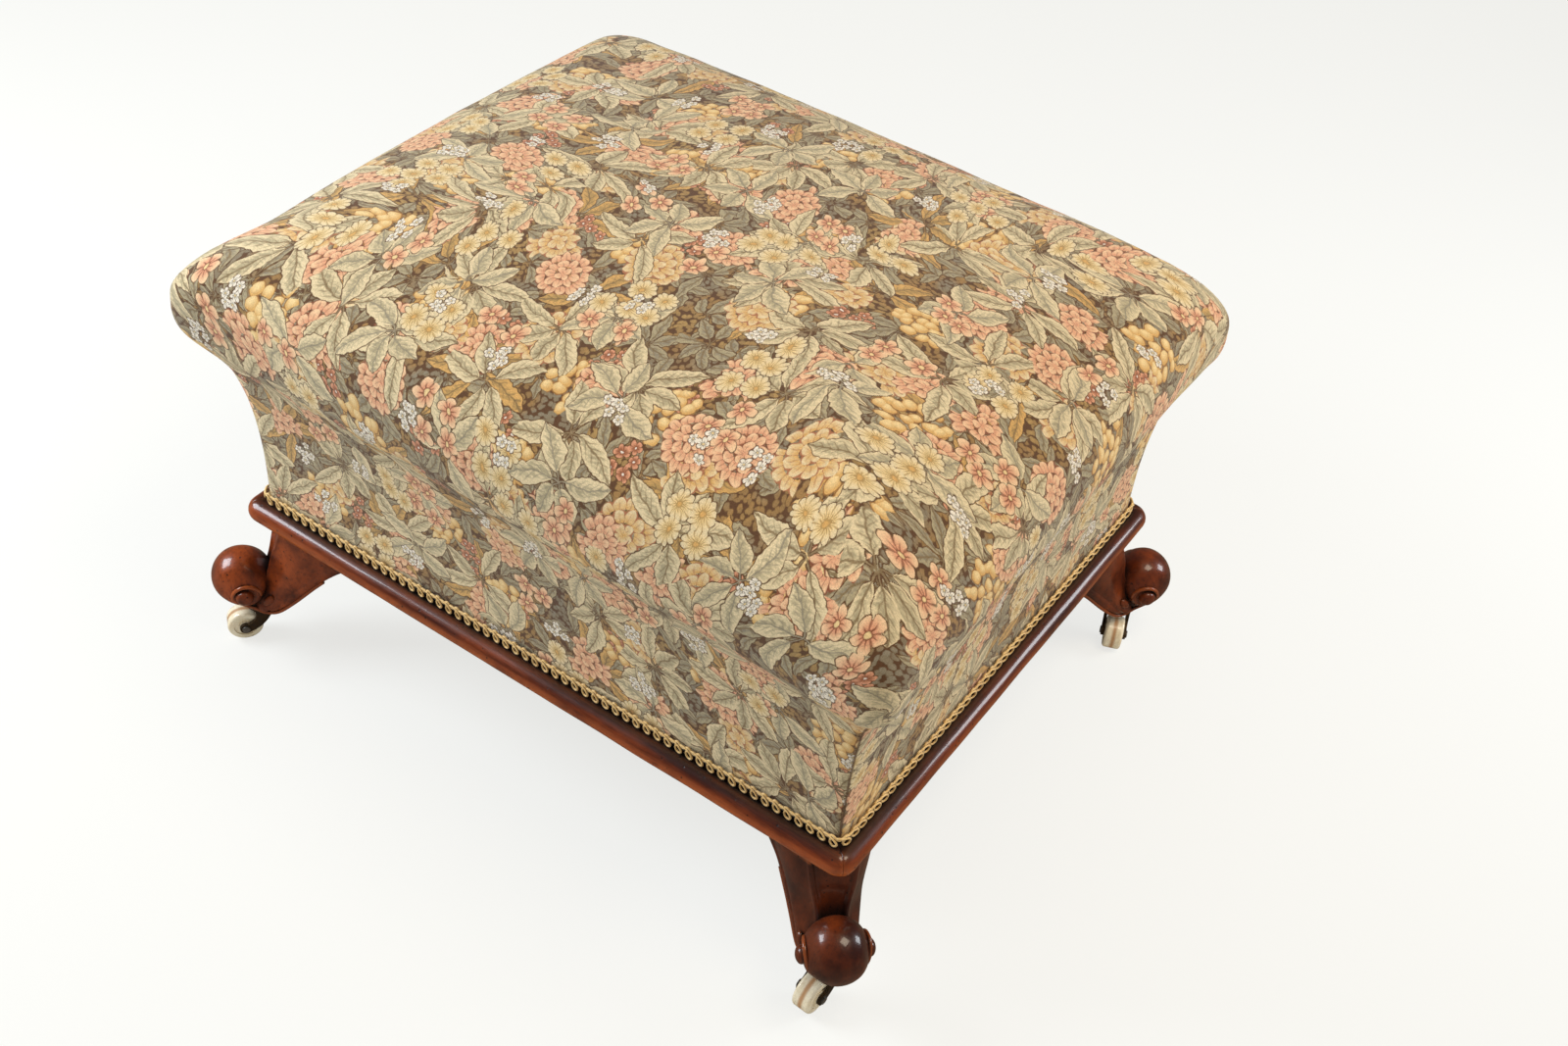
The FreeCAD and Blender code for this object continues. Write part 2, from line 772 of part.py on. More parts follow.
def all_pieces():
    """Every piece by its name; a list holds alike pieces that share a name."""
    pieces = {}
    dowels = dowel_shapes()
    box_screws = box_screw_shapes()
    tack_shanks = tack_shapes(True)
    pieces.update(base_rails(dowels + box_screws + tack_shanks))
    pieces["base_corner_blocks"] = base_corner_blocks()
    core = cushion_body(lining)
    under_cover = cushion_body(cover_thickness)
    pieces.update(box_boards(core, box_screws))
    pieces["box_corner_posts"] = box_corner_posts()
    pieces["box_screws"] = box_screws
    pieces["webbing_long"] = webbing(90, spring_rows, spring_pitch_y, False)
    pieces["webbing_cross"] = webbing(0, spring_columns, spring_pitch_x, True)
    spring = spring_shape(strap_top + spring_seat_gap, board_top + canvas_rise - spring_seat_gap)
    pieces["seat_springs"] = [
        spring.translated(Vector(x, y, 0))
        for x in centred_places(spring_columns, spring_pitch_x)
        for y in centred_places(spring_rows, spring_pitch_y)
    ]
    pieces["spring_canvas"] = spring_canvas(core)
    pieces["edge_roll"], pieces["hair_stuffing"] = padding(core)
    pieces["cover_wadding"] = under_cover.cut(core)
    pieces["tapestry_cover"] = cushion_body(0).cut(under_cover)
    pieces["gimp_braid"] = gimp_ring()
    pieces["bottom_cloth"] = bottom_cloth(tack_shanks)
    pieces["bottom_cloth_tacks"] = tack_shapes(False)
    pieces["leg_dowels"] = dowels
    screws = castor_screw_shapes()
    plate = castor_plate(screws)
    leg = leg_blank()
    dowel = [
        rod(dowel_diameter, leg_top_height - dowel_length / 2, leg_top_height, -dowel_setback, y)
        for y in (-dowel_spread / 2, dowel_spread / 2)
    ]
    leg = leg.cut(dowel + screws + [rod(stem_diameter, sole_height, sole_height + stem_length, stem_reach, 0)])
    castor_screws = []
    for name, sign_x, sign_y, trail_angle in corners:
        pieces["leg_" + name] = at_corner(leg, sign_x, sign_y)
        pieces["castor_plate_" + name] = at_corner(plate, sign_x, sign_y)
        castor_screws += [at_corner(screw, sign_x, sign_y) for screw in screws]
        for kind, shape in (("horn", castor_horn()), ("axle", castor_axle()), ("wheel", castor_wheel())):
            pieces["castor_" + kind + "_" + name] = trailing(shape, sign_x, sign_y, trail_angle)
    pieces["castor_screws"] = castor_screws
    return pieces


def main():
    """Write every piece to its own file."""
    os.makedirs("parts", exist_ok=True)
    for name, shape in all_pieces().items():
        if isinstance(shape, list):
            shape = Part.makeCompound(shape)
        solids = len(shape.Solids)
        print(name, "solids", solids, "volume", round(shape.Volume), "valid", shape.isValid())
        shape.exportStep(os.path.join("parts", name + ".step"))


main()
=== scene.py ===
import math

import bmesh
import bpy
import numpy as np
from mathutils import Matrix, Vector, noise


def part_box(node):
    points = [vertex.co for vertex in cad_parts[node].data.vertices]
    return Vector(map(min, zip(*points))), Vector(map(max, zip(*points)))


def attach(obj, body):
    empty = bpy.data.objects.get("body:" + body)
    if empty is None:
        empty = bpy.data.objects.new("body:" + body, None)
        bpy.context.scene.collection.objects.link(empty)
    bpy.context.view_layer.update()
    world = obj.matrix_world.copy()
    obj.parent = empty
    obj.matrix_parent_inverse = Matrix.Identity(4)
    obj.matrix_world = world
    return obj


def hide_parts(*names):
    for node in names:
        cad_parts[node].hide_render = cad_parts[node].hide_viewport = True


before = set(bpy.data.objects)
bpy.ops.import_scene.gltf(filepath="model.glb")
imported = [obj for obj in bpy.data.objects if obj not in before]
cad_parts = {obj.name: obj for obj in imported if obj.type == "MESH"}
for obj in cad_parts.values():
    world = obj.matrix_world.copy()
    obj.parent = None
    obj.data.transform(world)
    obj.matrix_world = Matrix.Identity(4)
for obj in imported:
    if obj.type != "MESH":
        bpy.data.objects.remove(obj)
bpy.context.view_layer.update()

# An upholstered footstool: tapestry over a crowned seat, scrolled gimp round its foot, a moulded
# mahogany base, four knurl-footed legs and ceramic castors. Metres, Z up, floor at zero.

TAU = 2 * math.pi
MM = 0.001
WELD = 0.01 * MM

# Blender's noise vectors start from the clock unless they are given a seed
noise.seed_set(1)

# Places taken from the frame
front_low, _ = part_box("base_rail_front")
_, right_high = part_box("base_rail_right")
HALF_LENGTH = right_high.x
HALF_WIDTH = -front_low.y
LEG_TOP = front_low.z
cover_low, cover_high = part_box("tapestry_cover")
SEAT = cover_low.z
CROWN = cover_high.z
ROLL_OVERHANG = cover_high.x - HALF_LENGTH
gimp_low, gimp_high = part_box("gimp_braid")

CORNERS = {
    "front_right": (1, -1),
    "front_left": (-1, -1),
    "back_right": (1, 1),
    "back_left": (-1, 1),
}

# Each side of the stool: whether it lies across X, and at which end
SIDES = {"right": (True, 1), "left": (True, -1), "back": (False, 1), "front": (False, -1)}


def middle_of(node):
    """Middle of a node's box."""
    low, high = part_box(node)
    return (low + high) / 2


def tint(red, green, blue):
    """Colour of a swatch read from 0 to 255, as the shader wants it."""
    channels = (value / 255 for value in (red, green, blue))
    return (*(c / 12.92 if c <= 0.04045 else ((c + 0.055) / 1.055) ** 2.4 for c in channels), 1)


class Value:
    """One output of a finish's nodes, so that a sum on it is written as a sum."""

    def __init__(self, finish, socket):
        self.finish = finish
        self.socket = socket

    def math(self, operation, *others):
        """A sum on this value and the others."""
        return self.finish.math(operation, self, *others)

    def __add__(self, other):
        return self.math("ADD", other)

    def __sub__(self, other):
        return self.math("SUBTRACT", other)

    def __mul__(self, other):
        return self.math("MULTIPLY", other)

    def __truediv__(self, other):
        return self.math("DIVIDE", other)

    def __radd__(self, other):
        return self.finish.math("ADD", other, self)

    def __rsub__(self, other):
        return self.finish.math("SUBTRACT", other, self)

    def __rmul__(self, other):
        return self.finish.math("MULTIPLY", other, self)

    def __abs__(self):
        return self.math("ABSOLUTE")

    def ramp(self, low, high):
        """0 up to low and 1 from high, or the other way round where low is the larger."""
        values = {"Value": self, "From Min": low, "From Max": high}
        return self.finish.value("MapRange", {}, values)

    def clamped(self):
        """The value, kept between 0 and 1."""
        return self.finish.value("Clamp", {}, {0: self})


class Finish:
    """A material that is built up node by node."""

    def __init__(self, name):
        self.material = bpy.data.materials.new(name)
        self.material.use_nodes = True
        self.tree = self.material.node_tree
        self.surface = self.tree.nodes["Principled BSDF"]

    def feed(self, socket, value):
        """Links a value to a socket, or sets the socket."""
        if isinstance(value, Value):
            self.tree.links.new(value.socket, socket)
        else:
            socket.default_value = value

    def add(self, kind, settings, values):
        """Adds a node: its settings first, and then what its sockets take."""
        node = self.tree.nodes.new("ShaderNode" + kind)
        for name, setting in settings.items():
            setattr(node, name, setting)
        for name, value in values.items():
            self.feed(node.inputs[name], value)
        return node

    def value(self, kind, settings, values, output=0):
        """Adds a node, and gives one of its outputs."""
        return Value(self, self.add(kind, settings, values).outputs[output])

    def math(self, operation, *values):
        """A sum on values and numbers."""
        return self.value("Math", {"operation": operation}, dict(enumerate(values)))

    def vector(self, operation, *values):
        """A sum on vectors."""
        return self.value("VectorMath", {"operation": operation}, dict(enumerate(values)))

    def scaled(self, place, scale):
        """A vector times three numbers."""
        return self.vector("MULTIPLY", place, scale)

    def distance(self, x, y):
        """Length of the run x, y."""
        return self.math("SQRT", x * x + y * y)

    def mix(self, share, first, second):
        """One colour into another."""
        values = {0: share, 6: first, 7: second}
        return self.value("Mix", {"data_type": "RGBA"}, values, 2)

    def parts(self, vector):
        """The X, Y and Z of a vector."""
        node = self.add("SeparateXYZ", {}, {0: vector})
        return [Value(self, socket) for socket in node.outputs]

    def object_place(self):
        """Object coordinates, in metres from the floor below the stool's middle."""
        return self.value("TexCoord", {}, {}, "Object")

    def cloud(self, place, size, detail=2, roughness=0.5, output="Fac"):
        """Soft noise whose features are about so large."""
        values = {"Vector": place, "Scale": 1 / size, "Detail": detail, "Roughness": roughness}
        return self.value("TexNoise", {}, values, output)

    def dress(self, **inputs):
        """Sets or links the surface's sockets; underscores stand for spaces."""
        for name, value in inputs.items():
            self.feed(self.surface.inputs[name.replace("_", " ")], value)

    def relief(self, height, distance, strength=1):
        """A bump of that height, on the surface's normal."""
        values = {"Height": height, "Distance": distance, "Strength": strength}
        self.dress(Normal=self.value("Bump", {}, values))


class Motif:
    """Places about the nearest of many centres strewn over the cloth."""

    def __init__(self, cloth, place, spacing, shift, strewing=0.75):
        self.cloth = cloth
        moved = cloth.vector("ADD", place, (shift, shift * 0.7, 0))
        settings = {"voronoi_dimensions": "2D"}
        values = {"Vector": moved, "Scale": 1 / spacing, "Randomness": strewing}
        cells = cloth.add("TexVoronoi", settings, values)
        centre = Value(cloth, cells.outputs["Position"])
        self.near = Value(cloth, cells.outputs["Distance"]) * spacing
        self.centre = cloth.vector("SUBTRACT", centre, (shift, shift * 0.7, 0))
        self.x, self.y, _ = cloth.parts(cloth.vector("SUBTRACT", moved, centre))
        self.draws = cloth.parts(Value(cloth, cells.outputs["Color"]))

    def fan(self, count, bend=0):
        """Splits the turn about the centre into that many sectors."""
        cloth = self.cloth
        self.radius = cloth.distance(self.x, self.y)
        angle = cloth.math("ARCTAN2", self.y, self.x) + self.draws[0] * TAU + self.radius * bend
        turn = angle * count / TAU
        self.index = cloth.math("FLOOR", turn)
        self.bearing = (turn - self.index - 0.5) * TAU / count
        self.along = self.radius * cloth.math("COSINE", self.bearing)
        self.across = self.radius * cloth.math("SINE", self.bearing)
        self.lobe = abs(cloth.math("COSINE", turn * math.pi + math.pi / 2))

    def among(self, spacing, shift, reach):
        """1 where the centre itself lies in one of the groups strewn over the cloth."""
        group = Motif(self.cloth, self.centre, spacing, shift)
        return self.cloth.math("LESS_THAN", group.near, reach)


# Tapestry colours
UMBER = tint(90, 61, 38)
OLIVE = tint(152, 117, 70)
MOSS = tint(119, 96, 64)
SLATE = tint(134, 124, 104)
SAGE = tint(166, 153, 121)
CREAM = tint(214, 195, 156)
TAN = tint(166, 134, 82)
GOLD = tint(202, 158, 94)
STRAW = tint(222, 194, 140)
CORAL = tint(208, 148, 114)
BLUSH = tint(224, 188, 148)
RUST = tint(162, 104, 72)
BRICK = tint(128, 76, 54)
CHALK = tint(226, 216, 200)
BERRY_LINE = tint(146, 100, 52)

# The motifs' outlines, the pitch of the threads and ribs, and the top of the corner seams
DARK_LINE = 0.8 * MM
SOFT_EDGE = 0.3 * MM
THREAD = 0.5 * MM
RIB = 0.9 * MM
SEAM_TOP = SEAT + 176 * MM


def laid_over(cloth, under, tone, edge, line=UMBER, shown=1, softness=SOFT_EDGE):
    """A motif over what is under it, with a line round it; edge is the way in from its outline."""
    outlined = cloth.mix(edge.ramp(-DARK_LINE, -DARK_LINE / 2) * shown, under, line)
    return cloth.mix(edge.ramp(0, softness) * shown, outlined, tone)


def leaves(cloth, under, motif, count, reach, breadth, light, body, veins, bend=5):
    """A spray of pointed leaves on short stalks, each with a lit half, a midrib and slanted veins."""
    motif.fan(count, bend)
    swing = cloth.math("SINE", motif.index * 2.4 + motif.draws[1] * 17)
    length = reach * (0.8 + 0.2 * swing)
    stalk = 0.12 * reach
    share = ((motif.along - stalk) / (length - stalk)).clamped()
    inside = cloth.math("SINE", math.pi * cloth.math("POWER", share, 0.9))
    teeth = cloth.math("PINGPONG", motif.along, 3.1 * MM) * 0.22
    half = (breadth - teeth) * cloth.math("POWER", inside, 0.8)
    half = cloth.math("MAXIMUM", half, 0.6 * MM)
    across = abs(motif.across)
    missing = swing.ramp(-0.62, -0.63) * breadth * 2
    edge = half - across - cloth.math("MAXIMUM", motif.along - length, 0) - missing
    out = across / half
    lit = motif.across.ramp(-0.6 * MM, 0.8 * MM)
    slant = cloth.math("SINE", (motif.along - across * 1.4) * (TAU / (6.5 * MM)))
    brush = cloth.streaks.ramp(0.4, 0.6)
    glow = out.ramp(0.3, 0.8) * 0.7 + lit * 0.3 + brush * 0.8 - 0.35 + 0.2 * swing
    tone = cloth.mix(glow.clamped(), body, light)
    tone = cloth.mix(slant.ramp(0.6, 0.95) * out.ramp(0.85, 0.5) * 0.55, tone, veins)
    tone = cloth.mix(across.ramp(0.8 * MM, 0.4 * MM) * 0.8, tone, veins)
    return laid_over(cloth, under, tone, edge)


def flowers(cloth, under, motif, shown, petals, reach, notch, tip, body, throat, eye):
    """Open flowers with rounded petals, a dark throat and an eye."""
    motif.fan(petals)
    outer = reach * (notch + (1 - notch) * cloth.math("POWER", motif.lobe, 0.6))
    edge = outer - motif.radius
    out = motif.radius / reach
    tone = cloth.mix(out.ramp(0.35, 0.85), body, tip)
    tone = cloth.mix(motif.lobe.ramp(0.45, 0.2) * 0.8, tone, throat)
    ray = abs(motif.across).ramp(0.5 * MM, 0.2 * MM) * out.ramp(0.65, 0.4)
    tone = cloth.mix(ray, tone, throat)
    tone = cloth.mix(out.ramp(0.26, 0.2), tone, throat)
    tone = cloth.mix(out.ramp(0.18, 0.12), tone, eye)
    return laid_over(cloth, under, tone, edge, shown=shown)


def petal_heads(cloth, under, motif, reach, ring, light, body, line):
    """Round heads of plump petals that point outward in rings."""
    radius = cloth.distance(motif.x, motif.y)
    angle = cloth.math("ARCTAN2", motif.y, motif.x)
    row = cloth.math("FLOOR", radius / ring)
    count = 5 * row + 4
    turn = angle * count / TAU + row * 0.37 + motif.draws[0] * 3
    across = abs(turn - cloth.math("FLOOR", turn) - 0.5) * 2
    along = radius / ring - row
    rounded = cloth.math("SQRT", 1.02 - cloth.math("POWER", abs(along - 0.3) / 0.7, 2))
    edge = (rounded * 1.02 - across) * (0.5 * ring)
    outermost = reach * (0.7 + 0.3 * motif.draws[1]) + 2 * MM * cloth.math("SINE", angle * 3 + row)
    shown = cloth.math("LESS_THAN", row * ring, outermost - ring * 0.6)
    glow = along.ramp(0.15, 0.9) * 0.75 + cloth.streaks.ramp(0.4, 0.6) * 0.3
    tone = cloth.mix(glow.clamped(), body, light)
    tone = cloth.mix(across.ramp(0.12, 0.04) * along.ramp(0.75, 0.5) * 0.6, tone, line)
    tone = cloth.mix(edge.ramp(0.5 * MM, 0), tone, line)
    tone = cloth.mix(edge.ramp(-0.9 * MM, -1.3 * MM), tone, under)
    return cloth.mix(shown, under, tone)


def berries(cloth, under, motif, shown, reach, light, body, line):
    """Plump overlapping petals, each lit on one side."""
    from_shine = cloth.distance(motif.x + 0.3 * reach, motif.y - 0.35 * reach)
    tone = cloth.mix(from_shine.ramp(reach * 1.1, reach * 0.3), body, light)
    return laid_over(cloth, under, tone, reach - motif.near, line, shown, 0.4 * MM)


def ferny_ground(cloth, drawn):
    """Small dark fronds over a brown and grey ground."""
    fern = Motif(cloth, drawn, 4.4 * MM, 0.31, 1)
    frond = (fern.near + 1.4 * MM * cloth.cloud(drawn, 2.4 * MM, 1)).ramp(3.1 * MM, 2.4 * MM)
    drift = cloth.cloud(drawn, 45 * MM, 1)
    tone = cloth.mix(drift.ramp(0.42, 0.52), SLATE, OLIVE)
    tone = cloth.mix(drift.ramp(0.56, 0.66), tone, TAN)
    tone = cloth.mix(fern.draws[1] * 0.5, tone, MOSS)
    return cloth.mix(frond, UMBER, tone)


def leaves_and_flowers(cloth, drawn, tone):
    """The motifs, from the undergrowth up to the small white florets."""
    filler = Motif(cloth, drawn, 40 * MM, 1.7)
    tone = leaves(cloth, tone, filler, 5, 26 * MM, 4.6 * MM, SAGE, SLATE, MOSS, 12)
    undergrowth = Motif(cloth, drawn, 52 * MM, 4.3)
    tone = leaves(cloth, tone, undergrowth, 7, 36 * MM, 5.6 * MM, SAGE, SLATE, MOSS, -8)
    tan_leaves = Motif(cloth, drawn, 128 * MM, 3.13)
    tone = leaves(cloth, tone, tan_leaves, 7, 56 * MM, 7 * MM, GOLD, TAN, MOSS)

    small_pinks = Motif(cloth, drawn, 12 * MM, 2.21, 0.6)
    group = small_pinks.among(96 * MM, 7.7, 15 * MM)
    tone = flowers(cloth, tone, small_pinks, group, 5, 5.6 * MM, 0.6, CORAL, RUST, BRICK, CHALK)
    gold_berries = Motif(cloth, drawn, 10 * MM, 5.5, 0.7)
    group = gold_berries.among(112 * MM, 6.1, 25 * MM)
    tone = berries(cloth, tone, gold_berries, group, 5.2 * MM, STRAW, GOLD, BERRY_LINE)
    blush_heads = Motif(cloth, drawn, 104 * MM, 6.9)
    tone = petal_heads(cloth, tone, blush_heads, 26 * MM, 8.8 * MM, CREAM, GOLD, RUST)
    coral_heads = Motif(cloth, drawn, 80 * MM, 8.8)
    tone = petal_heads(cloth, tone, coral_heads, 27 * MM, 7.8 * MM, BLUSH, CORAL, BRICK)

    sage_leaves = Motif(cloth, drawn, 88 * MM, 0.77)
    tone = leaves(cloth, tone, sage_leaves, 8, 54 * MM, 8.6 * MM, CREAM, SAGE, MOSS)
    cream_leaves = Motif(cloth, drawn, 104 * MM, 1.93)
    tone = leaves(cloth, tone, cream_leaves, 6, 46 * MM, 9.2 * MM, CREAM, SAGE, SLATE, -6)

    pinks = Motif(cloth, drawn, 23 * MM, 3.9, 0.5)
    group = pinks.among(118 * MM, 5.2, 22 * MM)
    tone = flowers(cloth, tone, pinks, group, 5, 11 * MM, 0.5, BLUSH, CORAL, BRICK, STRAW)
    daisies = Motif(cloth, drawn, 23 * MM, 6.6, 0.4)
    group = daisies.among(128 * MM, 2.6, 26 * MM)
    tone = flowers(cloth, tone, daisies, group, 11, 11 * MM, 0.78, CREAM, STRAW, TAN, GOLD)
    florets = Motif(cloth, drawn, 9 * MM, 4.9, 0.5)
    group = florets.among(92 * MM, 8.1, 11 * MM)
    return flowers(cloth, tone, florets, group, 5, 4.6 * MM, 0.55, CHALK, CHALK, SLATE, STRAW)


def woven_tapestry():
    """Leaf sprays and flower groups, densely woven over a dark ferny ground."""
    cloth = Finish("woven_tapestry")
    place = cloth.value("UVMap", {"uv_map": "unfolded_cloth"}, {})
    threads = cloth.value("VectorMath", {"operation": "SNAP"}, {0: place, 1: (THREAD,) * 3})
    sway = cloth.cloud(threads, 16 * MM, 2, output="Color")
    sway = cloth.vector("SUBTRACT", sway, (0.5, 0.5, 0.5))
    drawn = cloth.vector("ADD", threads, cloth.scaled(sway, (9 * MM, 9 * MM, 0)))
    cloth.streaks = cloth.cloud(cloth.scaled(drawn, (1, 3.2, 1)), 5 * MM, 2)
    tone = leaves_and_flowers(cloth, drawn, ferny_ground(cloth, drawn))

    speck = cloth.value("TexWhiteNoise", {"noise_dimensions": "2D"}, {"Vector": threads})
    wear = cloth.cloud(place, 90 * MM, 2)
    shade = 0.8 + 0.34 * speck + 0.06 * wear
    tone = cloth.value("VectorMath", {"operation": "SCALE"}, {0: tone, "Scale": shade})

    x, y, z = cloth.parts(cloth.object_place())
    mitre = abs(abs(x) - HALF_LENGTH - abs(y) + HALF_WIDTH) * math.sqrt(0.5)
    below = z.ramp(SEAM_TOP, SEAM_TOP - 6 * MM)
    seam = mitre.ramp(1.3 * MM, 0.5 * MM) * below
    tone = cloth.mix(seam * 0.8, tone, UMBER)

    warp, weft, _ = cloth.parts(cloth.scaled(place, (TAU / RIB,) * 3))
    ribs = cloth.math("SINE", warp) * cloth.math("SINE", weft)
    slub = cloth.cloud(place, 1.1 * MM, 1)
    cloth.relief(ribs * 0.5 + slub + mitre.ramp(0, 1.5 * MM) * below * 2, 0.25 * MM, 0.7)
    cloth.dress(Base_Color=tone, Roughness=0.88, Specular_IOR_Level=0.2, Sheen_Weight=0.12,
                Sheen_Roughness=0.5)
    return cloth.material


def polished_mahogany(name, grain, depth, wear=0.5):
    """French-polished mahogany: grain along one axis, worn edges partly painted as highlight, dark
    grime with painted shade in the hollows, and painted shade over the whole piece by depth.
    """
    wood = Finish(name)
    place = wood.object_place()

    def along_grain(fineness, size, detail, roughness):
        """Noise drawn out along the grain."""
        drawn = wood.scaled(place, [fineness * share for share in grain])
        return wood.cloud(drawn, size, detail, roughness)

    figure = along_grain(1, 16 * MM, 4, 0.6)
    streak = along_grain(4, 6 * MM, 3, 0.6)
    pores = along_grain(9, 4 * MM, 2, 0.7)
    tone = wood.mix(figure.ramp(0.35, 0.65), tint(70, 23, 8), tint(158, 70, 24))
    # Painted shade: the whole piece is darkened by depth, most on the pieces that stand in shade
    tone = wood.mix(depth, tone, tint(34, 12, 8))
    tone = wood.mix(streak.ramp(0.5, 0.75) * 0.6, tone, tint(46, 17, 8))
    tone = wood.mix(pores.ramp(0.6, 0.72) * 0.6, tone, tint(30, 12, 7))
    # Paler orange on sharp edges: worn polish, partly a painted highlight
    edges = wood.value("NewGeometry", {}, {}, "Pointiness").ramp(0.52, 0.6)
    tone = wood.mix(edges * wear, tone, tint(188, 98, 42))
    _, _, height = wood.parts(place)
    smudge = wood.cloud(place, 22 * MM, 3)
    # Darker on the top of the nose, next to the gimp: dirt, and painted shade from the cover above it
    ledge_dirt_and_shade = height.ramp(NOSE_TOP - 3 * MM, NOSE_TOP) * (0.4 + 0.6 * smudge)
    tone = wood.mix(ledge_dirt_and_shade, tone, tint(42, 24, 16))
    # Paler orange over the rails' faces below the nose top: rubbed polish, partly painted light
    above_foot = height.ramp(LEG_TOP, LEG_TOP + 4 * MM)
    rubbed_and_painted_light = height.ramp(NOSE_TOP - 5 * MM, NOSE_TOP - 12 * MM) * above_foot * smudge.ramp(0.3, 0.55)
    tone = wood.mix(rubbed_and_painted_light * 0.75, tone, tint(176, 88, 34))
    # Dark in the hollows that ambient occlusion finds: grime, and painted shade
    open_air = wood.value("AmbientOcclusion", {"samples": 6}, {"Distance": 12 * MM}, "AO")
    grime_and_shade = open_air.ramp(0.8, 0.3)
    tone = wood.mix(grime_and_shade * (0.7 + 0.5 * smudge), tone, tint(18, 9, 6))
    spread = 6 * MM
    cells = wood.add("TexVoronoi", {}, {"Vector": place, "Scale": 1 / spread})
    draw, _, _ = wood.parts(Value(wood, cells.outputs["Color"]))
    near = Value(wood, cells.outputs["Distance"]) * spread + 1.2 * MM * wood.cloud(place, 2 * MM, 1)
    dents = near.ramp(1.6 * MM, 1.2 * MM) * draw.ramp(0.4, 0.45) * smudge.ramp(0.38, 0.48)
    tone = wood.mix(dents * 0.9, tone, tint(16, 8, 6))
    gloss = 0.24 + 0.35 * grime_and_shade + 0.2 * wood.cloud(place, 9 * MM, 3)
    wood.relief(streak * 0.6 + pores * 0.4 - dents, 0.25 * MM, 0.5)
    wood.dress(Base_Color=tone, Roughness=gloss, Specular_IOR_Level=0.3, Coat_Weight=0.55,
               Coat_Roughness=0.1)
    return wood.material


def joinery_wood(name, light, dark, grain):
    """Plain unpolished timber of the hidden frame."""
    wood = Finish(name)
    place = wood.object_place()
    rings = wood.cloud(wood.scaled(place, grain), 11 * MM, 4, 0.6)
    tone = wood.mix(rings.ramp(0.35, 0.65), light, dark)
    wood.relief(rings, 0.4 * MM, 0.4)
    wood.dress(Base_Color=tone, Roughness=0.62 + 0.2 * rings)
    return wood.material


def plain_weave(name, light, dark, pitch):
    """Loose plain cloth or webbing."""
    cloth = Finish(name)
    place = cloth.object_place()
    x, y, z = cloth.parts(cloth.scaled(place, (TAU / pitch,) * 3))
    ribs = cloth.math("SINE", x) * cloth.math("SINE", y + z)
    slub = cloth.cloud(place, 4 * pitch, 3)
    tone = cloth.mix(ribs.ramp(-1, 1) * 0.6 + slub * 0.4, dark, light)
    cloth.relief(ribs, pitch / 4, 0.6)
    cloth.dress(Base_Color=tone, Roughness=0.9)
    return cloth.material


def hair_or_wadding(name, light, dark, size):
    """Matted fibres."""
    fibres = Finish(name)
    place = fibres.object_place()
    matted = fibres.cloud(place, size, 5, 0.7)
    tone = fibres.mix(matted.ramp(0.35, 0.65), dark, light)
    fibres.relief(matted, size / 2, 0.8)
    fibres.dress(Base_Color=tone, Roughness=0.95)
    return fibres.material


def metal(name, light, dark, roughness, tarnish):
    """Metal with tarnish in clouds."""
    alloy = Finish(name)
    place = alloy.object_place()
    cloudy = alloy.cloud(place, 5 * MM, 4, 0.65)
    scratches = alloy.cloud(alloy.scaled(place, (1, 7, 7)), 4 * MM, 3)
    film = cloudy.ramp(0.5 - tarnish / 3, 0.75)
    tone = alloy.mix(film, light, dark)
    alloy.relief(scratches * 0.5 + cloudy, 0.15 * MM, 0.4)
    alloy.dress(Base_Color=tone, Roughness=roughness + 0.3 * film, Metallic=1 - 0.65 * film)
    return alloy.material


def glazed_ceramic(corner):
    """Old white glaze of one corner's wheel, browned along the middle of its tread."""
    glaze = Finish("glazed_ceramic_" + corner)
    place = glaze.object_place()
    wheel = middle_of("castor_wheel_" + corner)
    trail = wheel - middle_of("castor_plate_" + corner)
    axle = Vector((-trail.y, trail.x, 0)).normalized()
    across = glaze.value("VectorMath", {"operation": "DOT_PRODUCT"},
                         {0: glaze.vector("SUBTRACT", place, wheel), 1: axle}, "Value")
    blotch = glaze.cloud(place, 6 * MM, 4, 0.6)
    cells = {"Vector": place, "Scale": 1 / (3 * MM)}
    crackle = glaze.value("TexVoronoi", {"feature": "DISTANCE_TO_EDGE"}, cells, "Distance")
    lines = crackle.ramp(0.05, 0.01)
    tread = (abs(across) + 1.6 * MM * blotch).ramp(3.4 * MM, 1.6 * MM)
    tone = glaze.mix(blotch.ramp(0.4, 0.7) * 0.5, tint(240, 228, 200), tint(222, 198, 154))
    tone = glaze.mix(lines * 0.25, tone, tint(150, 110, 70))
    tone = glaze.mix(tread * 0.85, tone, tint(176, 122, 70))
    glaze.relief(blotch, 0.1 * MM, 0.3)
    glaze.dress(Base_Color=tone, Roughness=0.2 + 0.25 * blotch, Coat_Weight=0.4, Coat_Roughness=0.1)
    return glaze.material


def gimp_thread():
    """Gold rayon cord, twisted, with painted shade in its hollows."""
    cord = Finish("gimp_thread")
    place = cord.object_place()
    twist = cord.cloud(place, 1.4 * MM, 2)
    # Painted shade: the cord is darker where ambient occlusion finds it hollow
    hollow = cord.value("AmbientOcclusion", {"samples": 6}, {"Distance": 4 * MM}, "AO").ramp(0.3, 0.9)
    tone = cord.mix(hollow, tint(112, 74, 36), tint(222, 180, 108))
    tone = cord.mix(twist.ramp(0.4, 0.7) * 0.6, tone, tint(242, 214, 156))
    tone = cord.mix(cord.cloud(place, 14 * MM, 2).ramp(0.5, 0.7) * 0.3, tone, tint(172, 122, 66))
    cord.relief(twist, 0.4 * MM, 0.6)
    cord.dress(Base_Color=tone, Roughness=0.5, Sheen_Weight=0.2)
    return cord.material


